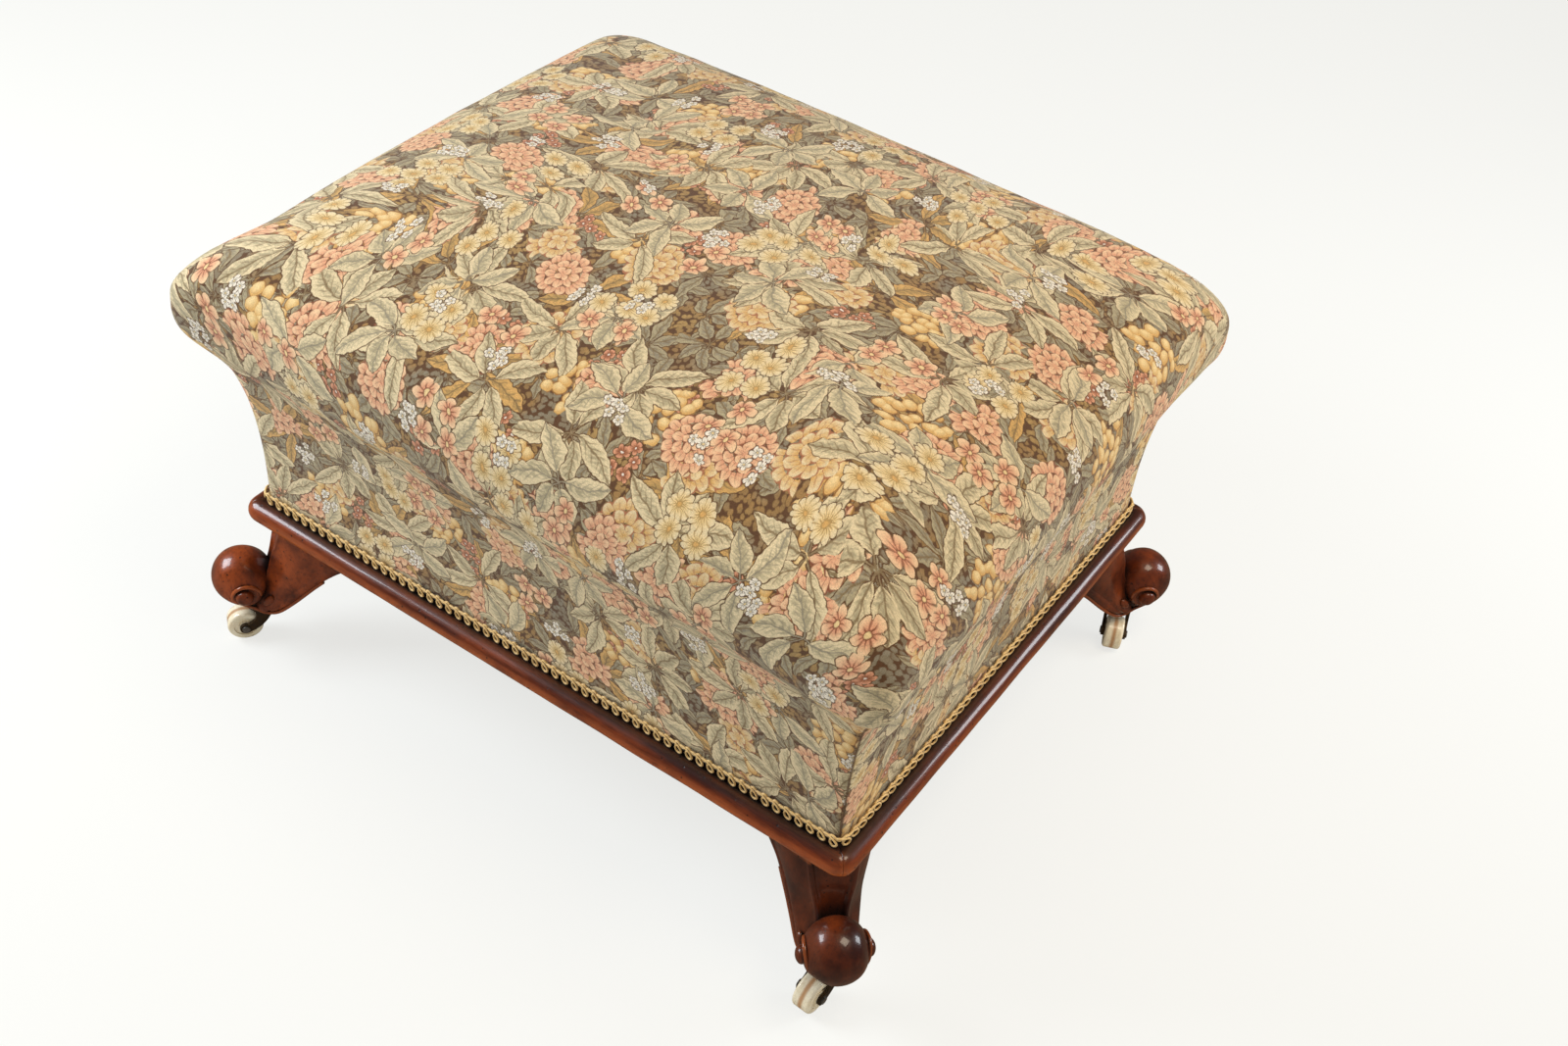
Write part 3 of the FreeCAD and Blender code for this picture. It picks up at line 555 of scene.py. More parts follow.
# The cushion's form, as shares: up, out and toward the roll's corner radius for the sides; up, in,
# corner radius and bow for the crown
SIDE_SHARES = (
    (0.0, 0.0, 0.0),
    (0.28, 0.0, 0.03),
    (0.49, 0.075, 0.12),
    (0.65, 0.21, 0.28),
    (0.77, 0.43, 0.45),
    (0.85, 0.72, 0.68),
    (0.92, 0.93, 0.88),
    (1.0, 1.0, 1.0),
)
CROWN_SHARES = (
    (0.0, 0.0, 0.0, 0.0),
    (0.13, 0.0, 0.0, 0.0),
    (0.25, 0.005, 0.005, 0.0),
    (0.44, 0.030, 0.045, 0.008),
    (0.57, 0.066, 0.12, 0.022),
    (0.71, 0.145, 0.25, 0.045),
    (0.84, 0.30, 0.37, 0.07),
    (0.94, 0.55, 0.41, 0.088),
    (0.99, 0.82, 0.36, 0.10),
    (1.0, 1.0, 0.30, 0.10),
)
WAIST_INSET = 15.5 * MM
WAIST_CORNER = 5 * MM
ROLL_CORNER = 18 * MM
ROLL_HEIGHT = SEAT + 192 * MM
CROWN_PATCH = 24 * MM
CLOTH_CELL = 8 * MM

# How far each rolled corner hangs and spreads, by the signs of its X and Y
CORNER_REACH = 90 * MM
CORNER_DROOPS = {(1, -1): 3 * MM, (-1, -1): -7 * MM, (1, 1): 6 * MM, (-1, 1): 1 * MM}
CORNER_SPREADS = {(1, -1): 0.003, (-1, -1): 0.024, (1, 1): 0.004, (-1, 1): 0.003}

# The crease below the roll, the hem on the seat, and the layers pressed in under the cloth
CREASE_HEIGHT = SEAT + 140 * MM
CREASE_BREADTH = 7 * MM
CREASE_DEPTH = 1.3 * MM
HEM_WIDTH = 10 * MM
LAYER_PRESSING = (0.985, 0.982, 0.98)

# The filling of the cloth: how far inside its form it starts, and the most that it may move
START_DEPTH = 1.5 * MM
FILLING_PRESSURE = 4
FILLING_FRAMES = 20
MOST_SWELLING = 5 * MM
MOST_SINKING = 0.5 * MM


class Profile:
    """Rows of offset, height, corner radius and bow, looked up by the run of cloth along them."""

    def __init__(self, rows):
        self.rows = fair(np.array(rows), 12)
        steps = np.hypot(np.diff(self.rows[:, 0]), np.diff(self.rows[:, 1]))
        self.runs = np.concatenate(([0], np.cumsum(steps)))
        self.length = self.runs[-1]

    def at(self, run):
        """The row at a run of cloth."""
        return [np.interp(run, self.runs, column) for column in self.rows.T]


def fair(rows, steps):
    """Points on a smooth line through the rows."""
    padded = np.vstack([2 * rows[0] - rows[1], rows, 2 * rows[-1] - rows[-2]])
    line = []
    for before, first, last, after in zip(padded, padded[1:], padded[2:], padded[3:]):
        for t in np.arange(steps) / steps:
            start = 2 * first + (last - before) * t
            bend = (2 * before - 5 * first + 4 * last - after) * t * t
            line.append((start + bend + (3 * first - before - 3 * last + after) * t ** 3) / 2)
    line.append(rows[-1])
    return np.array(line)


def cushion_profiles():
    """The sides from the roll down to the seat, and the crown from the roll to the middle."""
    side = []
    for up, out, turn in reversed(SIDE_SHARES):
        offset = out * (ROLL_OVERHANG + WAIST_INSET) - WAIST_INSET
        radius = WAIST_CORNER + turn * (ROLL_CORNER - WAIST_CORNER)
        side.append((offset, SEAT + up * (ROLL_HEIGHT - SEAT), radius, 0))
    crown = []
    run = HALF_WIDTH + ROLL_OVERHANG - CROWN_PATCH / 2
    for up, inward, turn, bow in CROWN_SHARES:
        offset = ROLL_OVERHANG - inward * run
        left = HALF_WIDTH + offset
        crown.append((offset, ROLL_HEIGHT + up * (CROWN - ROLL_HEIGHT),
                      min(ROLL_CORNER + turn * left, 0.8 * left), bow * left))
    crown.append((-HALF_WIDTH, CROWN, 0, 0))
    return Profile(side), Profile(crown)


def ring_point(row, on_x_side, share, sign=1):
    """Point on a rounded outline, at a share of the way from the middle of a side to its corner.

    The side is across X or across Y, at its positive or negative end by the sign.
    """
    offset, height, radius, bow = row
    a = HALF_LENGTH + offset
    b = HALF_WIDTH + offset
    out, along = (a, b) if on_x_side else (b, a)
    straight = max(along - bow - radius, 0)
    run = abs(share) * (straight + radius * math.pi / 4)
    if run < straight:
        far, side = out - bow * (run / straight) ** 2, run
    elif radius > 0:
        angle = (run - straight) / radius
        far = out - bow - radius + radius * math.cos(angle)
        side = straight + radius * math.sin(angle)
    else:
        far, side = out, straight
    side = math.copysign(side, share)
    far *= sign
    return Vector((far, side, height) if on_x_side else (side, far, height))


def linked(name, data):
    """A new object of the scene."""
    thing = bpy.data.objects.new(name, data)
    bpy.context.scene.collection.objects.link(thing)
    return thing


def meshed(name, bm, finish):
    """An object with the bmesh as its mesh, and its material."""
    mesh = bpy.data.meshes.new(name)
    bm.to_mesh(mesh)
    bm.free()
    mesh.materials.append(finish)
    return linked(name, mesh)


def finished(name, bm, finish):
    """A smooth piece of the stool's standing part."""
    piece = meshed(name, bm, finish)
    piece.data.polygons.foreach_set("use_smooth", [True] * len(piece.data.polygons))
    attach(piece, "root")
    return piece


def apply_modifiers(piece):
    """Applies a piece's modifiers to its mesh."""
    depsgraph = bpy.context.evaluated_depsgraph_get()
    made = bpy.data.meshes.new_from_object(piece.evaluated_get(depsgraph), depsgraph=depsgraph)
    piece.modifiers.clear()
    piece.data = made


def subdivide(piece, levels):
    """Rounds a piece's mesh by subdivision."""
    rounding = piece.modifiers.new("rounding", "SUBSURF")
    rounding.levels = rounding.render_levels = levels
    apply_modifiers(piece)


def drawn_out(bm, loop):
    """Extrudes a loop of edges, and gives the new vertices and the new loop."""
    made = bmesh.ops.extrude_edge_only(bm, edges=loop)["geom"]
    verts = [item for item in made if isinstance(item, bmesh.types.BMVert)]
    edges = [item for item in made if isinstance(item, bmesh.types.BMEdge) and item.is_boundary]
    return verts, edges


def in_order(bm):
    """Puts edges and faces in the order of their vertices, which extruding leaves to chance."""
    bm.verts.index_update()
    for elements in (bm.edges, bm.faces):
        ordered = sorted(elements, key=lambda element: sorted(vert.index for vert in element.verts))
        for index, element in enumerate(ordered):
            element.index = index
        elements.sort()


def skinned(bm, outlines):
    """Skins a run of closed outlines of alike points, and fills both ends."""
    place = bm.verts.layers.int.new("place")
    verts = [bm.verts.new(point) for point in outlines[0]]
    for index, vert in enumerate(verts):
        vert[place] = index
    loop = list(bm.faces.new(verts).edges)
    for outline in outlines[1:]:
        drawn, loop = drawn_out(bm, loop)
        for vert in drawn:
            vert.co = outline[vert[place]]
    bmesh.ops.contextual_create(bm, geom=loop)
    bmesh.ops.recalc_face_normals(bm, faces=bm.faces)
    in_order(bm)


def cord_mesh(points, thickness, closed):
    """Mesh of a round cord through points."""
    curve = bpy.data.curves.new("cord", "CURVE")
    curve.dimensions = "3D"
    curve.bevel_depth = thickness / 2
    curve.bevel_resolution = 1
    curve.use_fill_caps = not closed
    spline = curve.splines.new("POLY")
    spline.points.add(len(points) - 1)
    spline.use_cyclic_u = closed
    spline.points.foreach_set("co", [value for point in points for value in (*point, 1)])
    cord = linked("cord", curve)
    mesh = bpy.data.meshes.new_from_object(cord)
    bpy.data.objects.remove(cord)
    return mesh


def step_between(value, low, high):
    """Eases from 0 at low to 1 at high."""
    share = min(max((value - low) / (high - low), 0), 1)
    return share * share * (3 - 2 * share)


def drawn_corner(point):
    """The cloth at the roll's corners hangs a little lower and fuller."""
    in_x = max(1 - (HALF_LENGTH + ROLL_OVERHANG - abs(point.x)) / CORNER_REACH, 0)
    in_y = max(1 - (HALF_WIDTH + ROLL_OVERHANG - abs(point.y)) / CORNER_REACH, 0)
    fullness = in_x * in_y * step_between(point.z, ROLL_HEIGHT - 50 * MM, ROLL_HEIGHT - 10 * MM)
    corner = (math.copysign(1, point.x), math.copysign(1, point.y))
    spread = 1 + CORNER_SPREADS[corner] * fullness
    return Vector((point.x * spread, point.y * spread, point.z - CORNER_DROOPS[corner] * fullness))


def pressed_layer(name, node, finish):
    """A soft layer of the frame, pressed in a little and drawn down at the corners with the cover."""
    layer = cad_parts[node]
    seat = Vector((0, 0, SEAT))
    bm = bmesh.new()
    bm.from_mesh(layer.data)
    bm.transform(layer.matrix_world)
    bmesh.ops.remove_doubles(bm, verts=bm.verts, dist=WELD)
    for vert in bm.verts:
        pressed = (vert.co - seat) * Vector(LAYER_PRESSING) + seat
        vert.co = drawn_corner(pressed)
    piece = finished(name, bm, finish)
    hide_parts(node)


def placed_cloth(place, side, crown, reach):
    """Where a point of the unfolded cloth, X, Y and drop below the roll, comes to lie."""
    x, y, drop = place
    depth_x = reach.x - abs(x)
    depth_y = reach.y - abs(y)
    depth = min(depth_x, depth_y)
    on_x_side = depth_x < depth_y
    across, along, limit = (x, y, reach.y - depth) if on_x_side else (y, x, reach.x - depth)
    row = side.at(drop) if drop > 0 else crown.at(depth)
    share = along / limit if limit > 0 else 0
    return drawn_corner(ring_point(row, on_x_side, share, math.copysign(1, across)))


def lay_weave(bm, unfolded, side, reach):
    """Lays the weave flat over the crown and down each side, where the cloth is taken in."""
    weave = bm.loops.layers.uv.new("unfolded_cloth")
    flat_share_x = (HALF_LENGTH - WAIST_INSET) / reach.x
    flat_share_y = (HALF_WIDTH - WAIST_INSET) / reach.y
    for face in bm.faces:
        places = [vert[unfolded] for vert in face.verts]
        on_side = any(drop > 0 for _, _, drop in places)
        on_x_side = on_side and all(abs(abs(x) - reach.x) < CLOTH_CELL / 4 for x, _, _ in places)
        for loop in face.loops:
            x, y, drop = loop.vert[unfolded]
            taken_in = drop / side.length
            if on_x_side:
                x = math.copysign(reach.x + drop, x)
                y *= 1 + (flat_share_y - 1) * taken_in
            elif on_side:
                y = math.copysign(reach.y + drop, y)
                x *= 1 + (flat_share_x - 1) * taken_in
            loop[weave].uv = (x, y)


def cover_mesh():
    """The cloth: a grid for the crown, drawn down ring by ring over the roll to a hem on the seat."""
    side, crown = cushion_profiles()
    reach = Vector((crown.length + HALF_LENGTH - HALF_WIDTH, crown.length))
    count_x, count_y = (2 * round(length / CLOTH_CELL) for length in reach)
    rings = round(side.length / CLOTH_CELL)
    bm = bmesh.new()
    unfolded = bm.verts.layers.float_vector.new("unfolded")
    bmesh.ops.create_grid(bm, x_segments=count_x, y_segments=count_y, size=1)
    for vert in bm.verts:
        vert[unfolded] = (vert.co.x * reach.x, vert.co.y * reach.y, 0)
    edge_loop = [edge for edge in bm.edges if edge.is_boundary]
    for ring in range(1, rings + 1):
        drawn, edge_loop = drawn_out(bm, edge_loop)
        for vert in drawn:
            vert[unfolded] = (*vert[unfolded].xy, ring / rings * side.length)
    for vert in bm.verts:
        vert.co = placed_cloth(vert[unfolded], side, crown, reach)
    lay_weave(bm, unfolded, side, reach)
    bmesh.ops.recalc_face_normals(bm, faces=bm.faces)
    for vert in bm.verts:
        free = step_between(vert.co.z, SEAT + 110 * MM, SEAT + 190 * MM)
        lump = noise.noise(vert.co * 14) + 0.4 * noise.noise(vert.co * 37)
        crease = math.exp(-((vert.co.z - CREASE_HEIGHT) / CREASE_BREADTH) ** 2)
        crease *= CREASE_DEPTH * (0.7 + noise.noise(vert.co * 9))
        vert.co += vert.normal * ((0.3 + 1.2 * lump) * MM * free - crease)
    hem, _ = drawn_out(bm, edge_loop)
    for vert in hem:
        vert.co.x -= math.copysign(HEM_WIDTH, vert.co.x)
        vert.co.y -= math.copysign(HEM_WIDTH, vert.co.y)
    in_order(bm)
    return bm


def filled_out(cover):
    """Lets a little pressure fill the cloth out from inside, held fast below the roll."""
    held = cover.vertex_groups.new(name="held")
    for vert in cover.data.vertices:
        free = step_between(vert.co.z, SEAT + 130 * MM, SEAT + 170 * MM)
        held.add([vert.index], 1 - free, "REPLACE")
        vert.co -= vert.normal * START_DEPTH * free
    start = [(vert.co.copy(), vert.normal.copy()) for vert in cover.data.vertices]
    filling = cover.modifiers.new("filling", "CLOTH")
    filling.settings.effector_weights.gravity = 0
    filling.settings.use_pressure = True
    filling.settings.uniform_pressure_force = FILLING_PRESSURE
    filling.settings.vertex_group_mass = "held"
    for number in range(1, FILLING_FRAMES + 1):
        bpy.context.scene.frame_set(number)
    apply_modifiers(cover)
    bpy.context.scene.frame_set(1)
    for vert, (place, normal) in zip(cover.data.vertices, start):
        move = vert.co - place
        move -= normal * min(move.dot(normal) + MOST_SINKING, 0)
        move *= min(MOST_SWELLING / max(move.length, MM), 1)
        vert.co = place + move


def tapestry_cover(finish):
    """The cover, filled out, smoothed once and closed underneath."""
    cover = finished("tapestry_cover_cloth", cover_mesh(), finish)
    filled_out(cover)
    subdivide(cover, 1)
    bm = bmesh.new()
    bm.from_mesh(cover.data)
    bmesh.ops.contextual_create(bm, geom=[edge for edge in bm.edges if edge.is_boundary])
    bmesh.ops.recalc_face_normals(bm, faces=bm.faces)
    bm.to_mesh(cover.data)
    bm.free()
    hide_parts("tapestry_cover")


# The gimp: its cords' thickness, and a loop's pitch, reach to either side and reach up and down
LOOPED_CORD = 1.8 * MM
WAVY_CORD = 2 * MM
LOOP_PITCH = 9.8 * MM
LOOP_SIDEWAYS = 5.5 * MM
LOOP_UPWARD = 4.5 * MM
LOOP_SAMPLES = 16
GIMP_STANDOFF = 1.6 * MM
GIMP_DROP = 0.8 * MM


def gimp_round(finish):
    """A looped cord with a wavy one over its heads, all round the foot of the cover."""
    level = (gimp_low.z + gimp_high.z) / 2 - GIMP_DROP
    radius = WAIST_CORNER + GIMP_STANDOFF
    offset = GIMP_STANDOFF - WAIST_INSET
    row = (offset, level, radius, 0)
    corner_run = radius * math.pi / 4
    half_x = HALF_LENGTH + offset - radius + corner_run
    half_y = HALF_WIDTH + offset - radius + corner_run
    around = 4 * (half_x + half_y)
    count = round(around / LOOP_PITCH) * LOOP_SAMPLES

    def on_path(run):
        """Point at a run round the foot, anticlockwise from the right side's front corner."""
        run %= around
        for side in ("right", "back", "left", "front"):
            on_x_side, sign = SIDES[side]
            half = half_y if on_x_side else half_x
            if run <= 2 * half:
                forward = 1 if on_x_side == (sign > 0) else -1
                return ring_point(row, on_x_side, forward * (run / half - 1), sign)
            run -= 2 * half
        return on_path(0)

    loops = []
    wave = []
    for index in range(count):
        turn = TAU * index / LOOP_SAMPLES
        run = around * index / count
        middle = on_path(run)
        heading = (on_path(run + MM) - middle).normalized()
        out = Vector((heading.y, -heading.x, 0))
        rise = Vector((0, 0, LOOP_UPWARD * math.cos(turn)))
        loops.append(on_path(run + LOOP_SIDEWAYS * math.sin(turn))
                     + out * (1.2 + 0.9 * math.sin(turn)) * MM + rise)
        rise = Vector((0, 0, (3.9 - 1.5 * math.cos(turn + 0.8)) * MM))
        wave.append(middle + out * 0.6 * MM + rise)
    bm = bmesh.new()
    bm.from_mesh(cord_mesh(loops, LOOPED_CORD, True))
    bm.from_mesh(cord_mesh(wave, WAVY_CORD, True))
    gimp = finished("gimp_scrolls", bm, finish)
    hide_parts("gimp_braid")


# The moulding, as in the frame
RAIL_WIDTH = 60 * MM
NOSE_RADIUS = 10 * MM
NOSE_TOP = right_high.z
FOOT_INSET = 11 * MM
MOULDING_CORNER = 14 * MM
UNEVENNESS = 0.4 * MM


def moulding_profile():
    """Offset and height round the moulding's section, from its inner foot over the nose to its seat."""
    middle = NOSE_TOP - NOSE_RADIUS
    points = [
        (-RAIL_WIDTH, LEG_TOP),
        (-FOOT_INSET - 4 * MM, LEG_TOP),
        (-FOOT_INSET, LEG_TOP),
        (-FOOT_INSET, LEG_TOP + 3 * MM),
        (-FOOT_INSET + 1.4 * MM, middle - 10.6 * MM),
    ]
    for turn in range(-60, 91, 15):
        angle = math.radians(turn)
        points.append((NOSE_RADIUS * (math.cos(angle) - 1), middle + NOSE_RADIUS * math.sin(angle)))
    points += [
        (-12 * MM, NOSE_TOP - 0.4 * MM),
        (-13.4 * MM, SEAT + 0.5 * MM),
        (-16 * MM, SEAT),
        (-RAIL_WIDTH, SEAT),
    ]
    return points


def rail_outline(profile, on_x_side, sign, share):
    """The moulding's section, a little uneven, at a share of the way along a rail."""
    outline = []
    for offset, height in profile:
        radius = max(MOULDING_CORNER + offset, 0.5 * MM)
        point = ring_point((offset, height, radius, 0), on_x_side, share, sign)
        outline.append(point + noise.noise_vector(point * 22) * UNEVENNESS)
    return outline


def moulded_rails(finishes):
    """The four rails, mitred at the corners."""
    profile = moulding_profile()
    shares = np.concatenate((np.linspace(0, 0.92, 24, endpoint=False), np.linspace(0.92, 1, 9)))
    shares = np.concatenate((-shares[:0:-1], shares))
    for name, (on_x_side, sign) in SIDES.items():
        bm = bmesh.new()
        skinned(bm, [rail_outline(profile, on_x_side, sign, share) for share in shares])
        rail = finished("moulded_rail_" + name, bm, finishes[name])
        bevel = rail.modifiers.new("edges", "BEVEL")
        bevel.width = 0.5 * MM
        bevel.segments = 2
        bevel.limit_method = "ANGLE"
        bevel.angle_limit = math.radians(40)
        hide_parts("base_rail_" + name)


# Sections of a leg from its top to the sole, as in the frame: share of the height, then the
# front panel, the side's middle and the back edge, each as setback and half width
LEG_SECTIONS = (
    (1.1, 1.05, 1.0, 0.57, 0.86, 1.0, 1.0),
    (1.0, 1.0, 1.0, 0.56, 0.86, 1.0, 1.0),
    (0.76, 0.74, 0.86, 0.457, 0.74, 0.82, 0.87),
    (0.61, 0.625, 0.725, 0.40, 0.67, 0.68, 0.72),
    (0.47, 0.50, 0.645, 0.345, 0.62, 0.548, 0.64),
    (0.31, 0.29, 0.645, 0.238, 0.565, 0.429, 0.565),
    (0.17, 0.075, 0.70, 0.172, 0.54, 0.315, 0.51),
    (0.07, -0.14, 0.70, 0.093, 0.52, 0.238, 0.435),
    (0.0, -0.215, 0.60, 0.075, 0.39, 0.209, 0.305),
)
SOLE = 39 * MM
PANEL_SETBACK = 28 * MM
PANEL_HALF = 20 * MM
PANEL_SINK = 2.2 * MM
BACK_REACH = 105 * MM
LEG_HALF = 46 * MM
SIDE_HOLLOW = 1.2 * MM
BAND_WIDTH = 8.5 * MM
BAND_RISE = 1.6 * MM

# The knurl, and the button and groove at either end of its axis, by the angle from it in radians
KNURL_PLACE = Vector((8 * MM, 0, 69 * MM))
KNURL_RADIUS = 25.5 * MM
EYE_SLIDE = Vector((-2.5 * MM, 0, -4 * MM))
BUTTON_RISE = 4.6 * MM
BUTTON_EDGE = 0.29
GROOVE_DEPTH = 1.8 * MM
GROOVE_MIDDLE = 0.34
GROOVE_BREADTH = 0.05

# Route of the bead on a leg's side, out, across and up from under the moulding's corner, in millimetres
BEAD_ROUTE = (
    (-60.6, 30.4, 83), (-52.5, 28.6, 75), (-44.4, 26.6, 66), (-33.4, 24.4, 54.5), (-20, 22.4, 43.4),
    (-9, 19.6, 41), (0, 18, 45.5), (8, 18, 50), (14, 19.8, 56), (16, 22, 63), (13.5, 23.8, 71),
    (7, 24.3, 76), (-1, 23.2, 75), (-6, 21.4, 69.5), (-7, 20.2, 63),
)
BEAD_THICKNESS = 3.6 * MM
DROP_PLACE = Vector((-13 * MM, 22 * MM, 57 * MM))
DROP_RADIUS = 3.6 * MM
DROP_SHAPE = Matrix.Rotation(0.9, 4, "Y") @ Matrix.Diagonal((1.7, 0.8, 1, 1))


def leg_outline(row):
    """Half a leg's section: sunk front panel, fillet, hollowed side and raised lower band."""
    up, front_in, front_out, side_in, side_out, back_in, back_out = row
    height = SOLE + up * (LEG_TOP - SOLE)
    front = Vector((-front_in * PANEL_SETBACK, front_out * PANEL_HALF))
    side = Vector((-side_in * BACK_REACH, side_out * LEG_HALF))
    back = Vector((-back_in * BACK_REACH, back_out * LEG_HALF))
    sunk = PANEL_SINK * min(1, up * 4)
    points = [
        Vector((front.x - sunk * 1.5, 0)),
        Vector((front.x - sunk * 1.3, front.y * 0.4)),
        Vector((front.x - sunk, front.y - 5 * MM)),
        Vector((front.x + 0.2 * MM, front.y - 4.2 * MM)),
        Vector((front.x + 0.9 * MM, front.y - 2 * MM)),
        Vector((front.x - 0.6 * MM, front.y)),
        Vector((front.x - 1.8 * MM, front.y - 0.2 * MM)),
    ]

    def along(share):
        """Point on the bowed side between the front fillet and the back edge."""
        start = points[-1]
        control = side * 2 - (start + back) / 2
        return start * (1 - share) ** 2 + control * 2 * share * (1 - share) + back * share ** 2

    run = (back - front).length
    band = min(BAND_WIDTH / run, 0.35)
    outward = Vector((0, 1))
    for share in (0.18, 0.36, 0.56, 0.76):
        hollow = math.sin(math.pi * share) * SIDE_HOLLOW
        points.append(along(share * (1 - band)) - outward * hollow)
    points.append(along(1 - band * 1.12) - outward * 1.4 * MM)
    points.append(along(1 - band) + outward * 0.2 * MM)
    points.append(along(1 - band * 0.5) + outward * BAND_RISE)
    points.append(back + Vector((-0.2 * MM, 0.6 * MM)))
    points.append(back + Vector((-1.8 * MM, -2.5 * MM)))
    points.append(Vector((back.x - 1.5 * MM, back.y * 0.4)))
    points.append(Vector((back.x - 1.2 * MM, 0)))
    return [Vector((point.x, point.y, height)) for point in points]


def leg_body():
    """The bracket of a leg, rounded."""
    outlines = []
    for row in fair(np.array(LEG_SECTIONS), 3):
        half = leg_outline(row)
        outlines.append(half + [Vector((point.x, -point.y, point.z)) for point in reversed(half[1:-1])])
    bm = bmesh.new()
    skinned(bm, outlines)
    draft = meshed("leg_draft", bm, None)
    subdivide(draft, 2)
    mesh = draft.data
    bpy.data.objects.remove(draft)
    return mesh


def leg_knurl(bm):
    """The rounded knurl, with a button and a groove about it on either side."""
    turn = Matrix.Rotation(math.pi / 2, 4, "X")
    made = bmesh.ops.create_uvsphere(bm, u_segments=64, v_segments=96, radius=KNURL_RADIUS, matrix=turn)
    for vert in made["verts"]:
        heading = vert.co.normalized()
        angle = math.acos(min(abs(heading.y), 1))
        button = BUTTON_RISE * math.sqrt(max(1 - (angle / BUTTON_EDGE) ** 2, 0))
        groove = GROOVE_DEPTH * math.exp(-((angle - GROOVE_MIDDLE) / GROOVE_BREADTH) ** 2)
        vert.co = heading * (KNURL_RADIUS + button - groove)
        vert.co += EYE_SLIDE * step_between(angle, 1.0, 0.4) + KNURL_PLACE


def carved_legs(finishes):
    """The four legs: bracket, knurl, and a bead and a drop on either side."""
    body = leg_body()
    route = [Vector(point) for point in fair(np.array(BEAD_ROUTE), 5) * MM]
    for name, (sign_x, sign_y) in CORNERS.items():
        bm = bmesh.new()
        bm.from_mesh(body)
        leg_knurl(bm)
        for side in (-1, 1):
            mirror = Matrix.Scale(side, 3, (0, 1, 0))
            bm.from_mesh(cord_mesh([mirror @ point for point in route], BEAD_THICKNESS, False))
            drop = Matrix.Translation(mirror @ DROP_PLACE) @ DROP_SHAPE
            bmesh.ops.create_uvsphere(bm, u_segments=20, v_segments=12, radius=DROP_RADIUS, matrix=drop)
        angle = math.atan2(sign_y, sign_x)
        corner = Matrix.Translation((sign_x * HALF_LENGTH, sign_y * HALF_WIDTH, 0))
        bmesh.ops.transform(bm, matrix=corner @ Matrix.Rotation(angle, 4, "Z"), verts=bm.verts)
        bmesh.ops.remove_doubles(bm, verts=bm.verts, dist=WELD)
        bmesh.ops.recalc_face_normals(bm, faces=bm.faces)
        leg = finished("leg_carved_" + name, bm, finishes[name])
        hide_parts("leg_" + name)


def finish_frame(finishes):
    """Gives every piece of the frame its material, by the start of its name."""
    for name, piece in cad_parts.items():
        start = max((key for key in finishes if name.startswith(key)), key=len)
        for slot in piece.material_slots:
            slot.material = finishes[start]


# The studio: strength of its pale surroundings as seen and as mirrored, and the floor's own glow
SURROUNDINGS = 0.48
SURROUNDINGS_MIRRORED = 0.08
FLOOR_GLOW = 0.75

# The camera's place and angles, which were fitted to the photograph
CAMERA_PLACE = (0.62756, -0.93185, 1.18097)
CAMERA_TURN = 30.582
CAMERA_RISE = 42.840
CAMERA_ROLL = 6.170
CAMERA_LENS = 41.3
CAMERA_SHIFT = -0.0012


def studio_floor():
    """A floor that looks almost white, and is darker where the polish mirrors it."""
    pale = Finish("pale_floor")
    path = pale.add("LightPath", {}, {})
    seen = Value(pale, path.outputs["Is Camera Ray"])
    mirrored = Value(pale, path.outputs["Is Glossy Ray"])
    tone = pale.mix(mirrored, tint(236, 236, 232), tint(120, 104, 90))
    pale.dress(Base_Color=tone, Roughness=0.9, Specular_IOR_Level=0.1)
    glow = pale.value("Emission", {}, {"Color": tint(251, 251, 248), "Strength": 1})
    lit = Value(pale, pale.surface.outputs[0])
    shader = pale.value("MixShader", {}, {0: seen * FLOOR_GLOW, 1: lit, 2: glow})
    pale.feed(pale.tree.nodes["Material Output"].inputs["Surface"], shader)
    bm = bmesh.new()
    bmesh.ops.create_grid(bm, x_segments=1, y_segments=1, size=6)
    meshed("floor", bm, pale.material)


def studio_surroundings():
    """Pale light from all round, which the polish mirrors only faintly."""
    world = bpy.data.worlds.new("studio")
    bpy.context.scene.world = world
    world.use_nodes = True
    nodes = world.node_tree.nodes
    links = world.node_tree.links
    backdrop = nodes["Background"]
    backdrop.inputs["Color"].default_value = tint(250, 248, 243)
    path = nodes.new("ShaderNodeLightPath")
    strength = nodes.new("ShaderNodeMath")
    strength.operation = "MULTIPLY_ADD"
    strength.inputs[1].default_value = SURROUNDINGS_MIRRORED - SURROUNDINGS
    strength.inputs[2].default_value = SURROUNDINGS
    links.new(path.outputs["Is Glossy Ray"], strength.inputs[0])
    links.new(strength.outputs[0], backdrop.inputs["Strength"])


def window_light(name, place, size, power, colour):
    """A square of light, turned to the stool."""
    light = bpy.data.lights.new(name, "AREA")
    light.size = size
    light.energy = power
    light.color = colour
    holder = linked(name, light)
    holder.location = place
    aim = Vector((0, 0, 0.25)) - Vector(place)
    holder.rotation_mode = "QUATERNION"
    holder.rotation_quaternion = aim.to_track_quat("-Z", "Y")


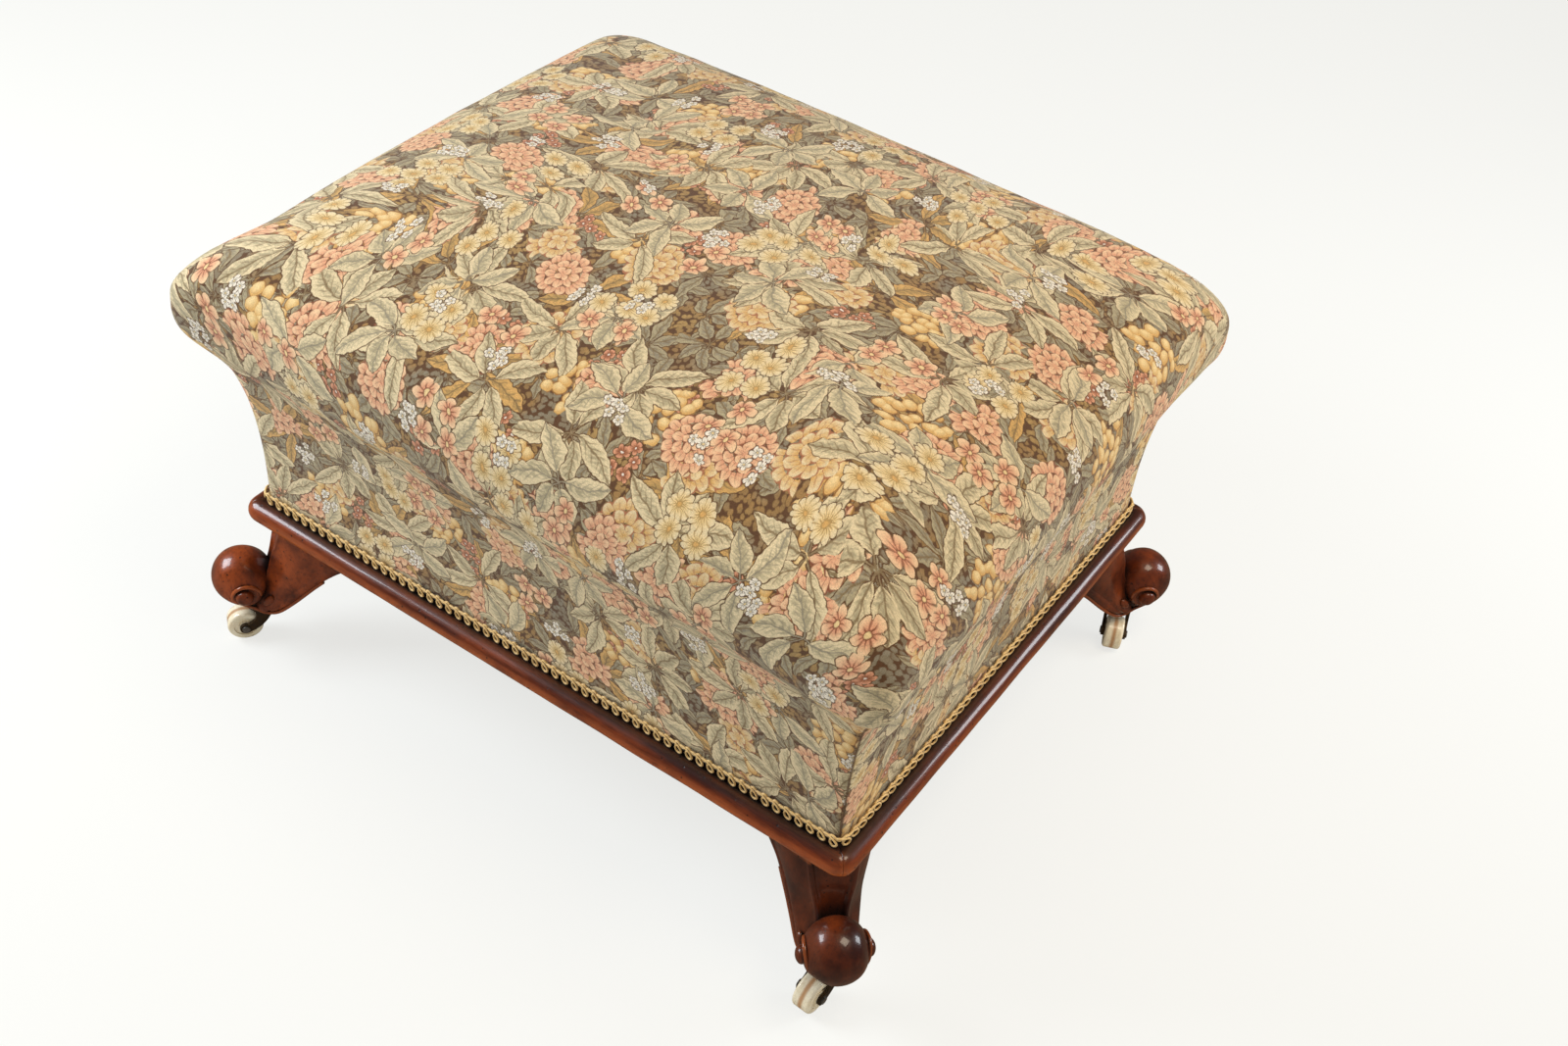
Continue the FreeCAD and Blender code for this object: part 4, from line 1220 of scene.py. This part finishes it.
def camera_as_photographed():
    """The camera, where the photograph was taken from."""
    turn, rise, roll = (math.radians(angle) for angle in (CAMERA_TURN, CAMERA_RISE, CAMERA_ROLL))
    back = Vector((math.sin(turn) * math.cos(rise), -math.cos(turn) * math.cos(rise), math.sin(rise)))
    right = Vector((math.cos(turn), math.sin(turn), 0))
    up = back.cross(right)
    tilted_right = right * math.cos(roll) + up * math.sin(roll)
    tilted_up = up * math.cos(roll) - right * math.sin(roll)
    view = Matrix((tilted_right, tilted_up, back)).transposed().to_4x4()
    lens = bpy.data.cameras.new("photograph")
    lens.sensor_fit = "HORIZONTAL"
    lens.sensor_width = 36
    lens.lens = CAMERA_LENS
    lens.shift_x = CAMERA_SHIFT
    camera = linked("photograph", lens)
    camera.matrix_world = Matrix.Translation(CAMERA_PLACE) @ view
    bpy.context.scene.camera = camera


studio_floor()
studio_surroundings()
window_light("window", (0.9, 0.05, 1.9), 0.8, 16, (1, 0.86, 0.66))
window_light("side_window", (-1.35, -0.75, 1.1), 0.8, 30, (0.86, 0.93, 1))
window_light("far_window", (1.2, 1.0, 0.75), 0.5, 9.5, (0.9, 0.95, 1))
camera_as_photographed()
bpy.context.scene.view_settings.view_transform = "Standard"

# The last number of each rail is its painted shade, darkest on the right rail, which stands in shade
rail_woods = {
    "right": polished_mahogany("mahogany_rail_right", (1, 0.12, 1), 0.45),
    "left": polished_mahogany("mahogany_rail_left", (1, 0.12, 1), 0.2),
    "back": polished_mahogany("mahogany_rail_back", (0.12, 1, 1), 0.3),
    "front": polished_mahogany("mahogany_rail_front", (0.12, 1, 1), 0.15),
}
# Painted shade of each leg, darkest on the front right leg, which stands in shade
leg_painted_shades = {"front_right": 0.6, "front_left": 0.1, "back_right": 0.45, "back_left": 0.3}
leg_woods = {
    name: polished_mahogany("mahogany_leg_" + name, (0.5, 0.5, 0.3), depth, 0.35)
    for name, depth in leg_painted_shades.items()
}
bronze = metal("castor_bronze", tint(96, 74, 48), tint(34, 30, 26), 0.35, 0.9)
steel = metal("screw_steel", tint(150, 148, 142), tint(70, 60, 52), 0.35, 0.4)
calico = plain_weave("black_calico", tint(52, 48, 44), tint(24, 22, 20), 1.1 * MM)
hessian = plain_weave("hessian", tint(176, 148, 104), tint(112, 88, 56), 2.2 * MM)
pine = joinery_wood("pine", tint(214, 178, 124), tint(184, 138, 84), (0.1, 0.1, 1))
beech = joinery_wood("beech", tint(206, 168, 128), tint(178, 134, 94), (1, 1, 0.1))
hair = hair_or_wadding("horsehair", tint(64, 50, 38), tint(26, 20, 16), 3 * MM)
wadding = hair_or_wadding("cotton_wadding", tint(236, 230, 216), tint(206, 198, 182), 5 * MM)
tapestry = woven_tapestry()
finish_frame({
    **{"base_rail_" + name: wood for name, wood in rail_woods.items()},
    "base_corner_blocks": pine,
    "box_board": pine,
    "box_corner_posts": pine,
    "box_screws": steel,
    "webbing": hessian,
    "seat_springs": steel,
    "spring_canvas": hessian,
    "edge_roll": hessian,
    "hair_stuffing": hair,
    "cover_wadding": wadding,
    "tapestry_cover": tapestry,
    "gimp_braid": hessian,
    "bottom_cloth": calico,
    "bottom_cloth_tacks": steel,
    **{"leg_" + name: wood for name, wood in leg_woods.items()},
    "leg_dowels": beech,
    "castor_plate": bronze,
    "castor_horn": bronze,
    "castor_axle": steel,
    "castor_screws": steel,
    **{"castor_wheel_" + corner: glazed_ceramic(corner) for corner in CORNERS},
})
pressed_layer("wadding_sheet", "cover_wadding", wadding)
pressed_layer("hair_filling", "hair_stuffing", hair)
tapestry_cover(tapestry)
gimp_round(gimp_thread())
moulded_rails(rail_woods)
carved_legs(leg_woods)
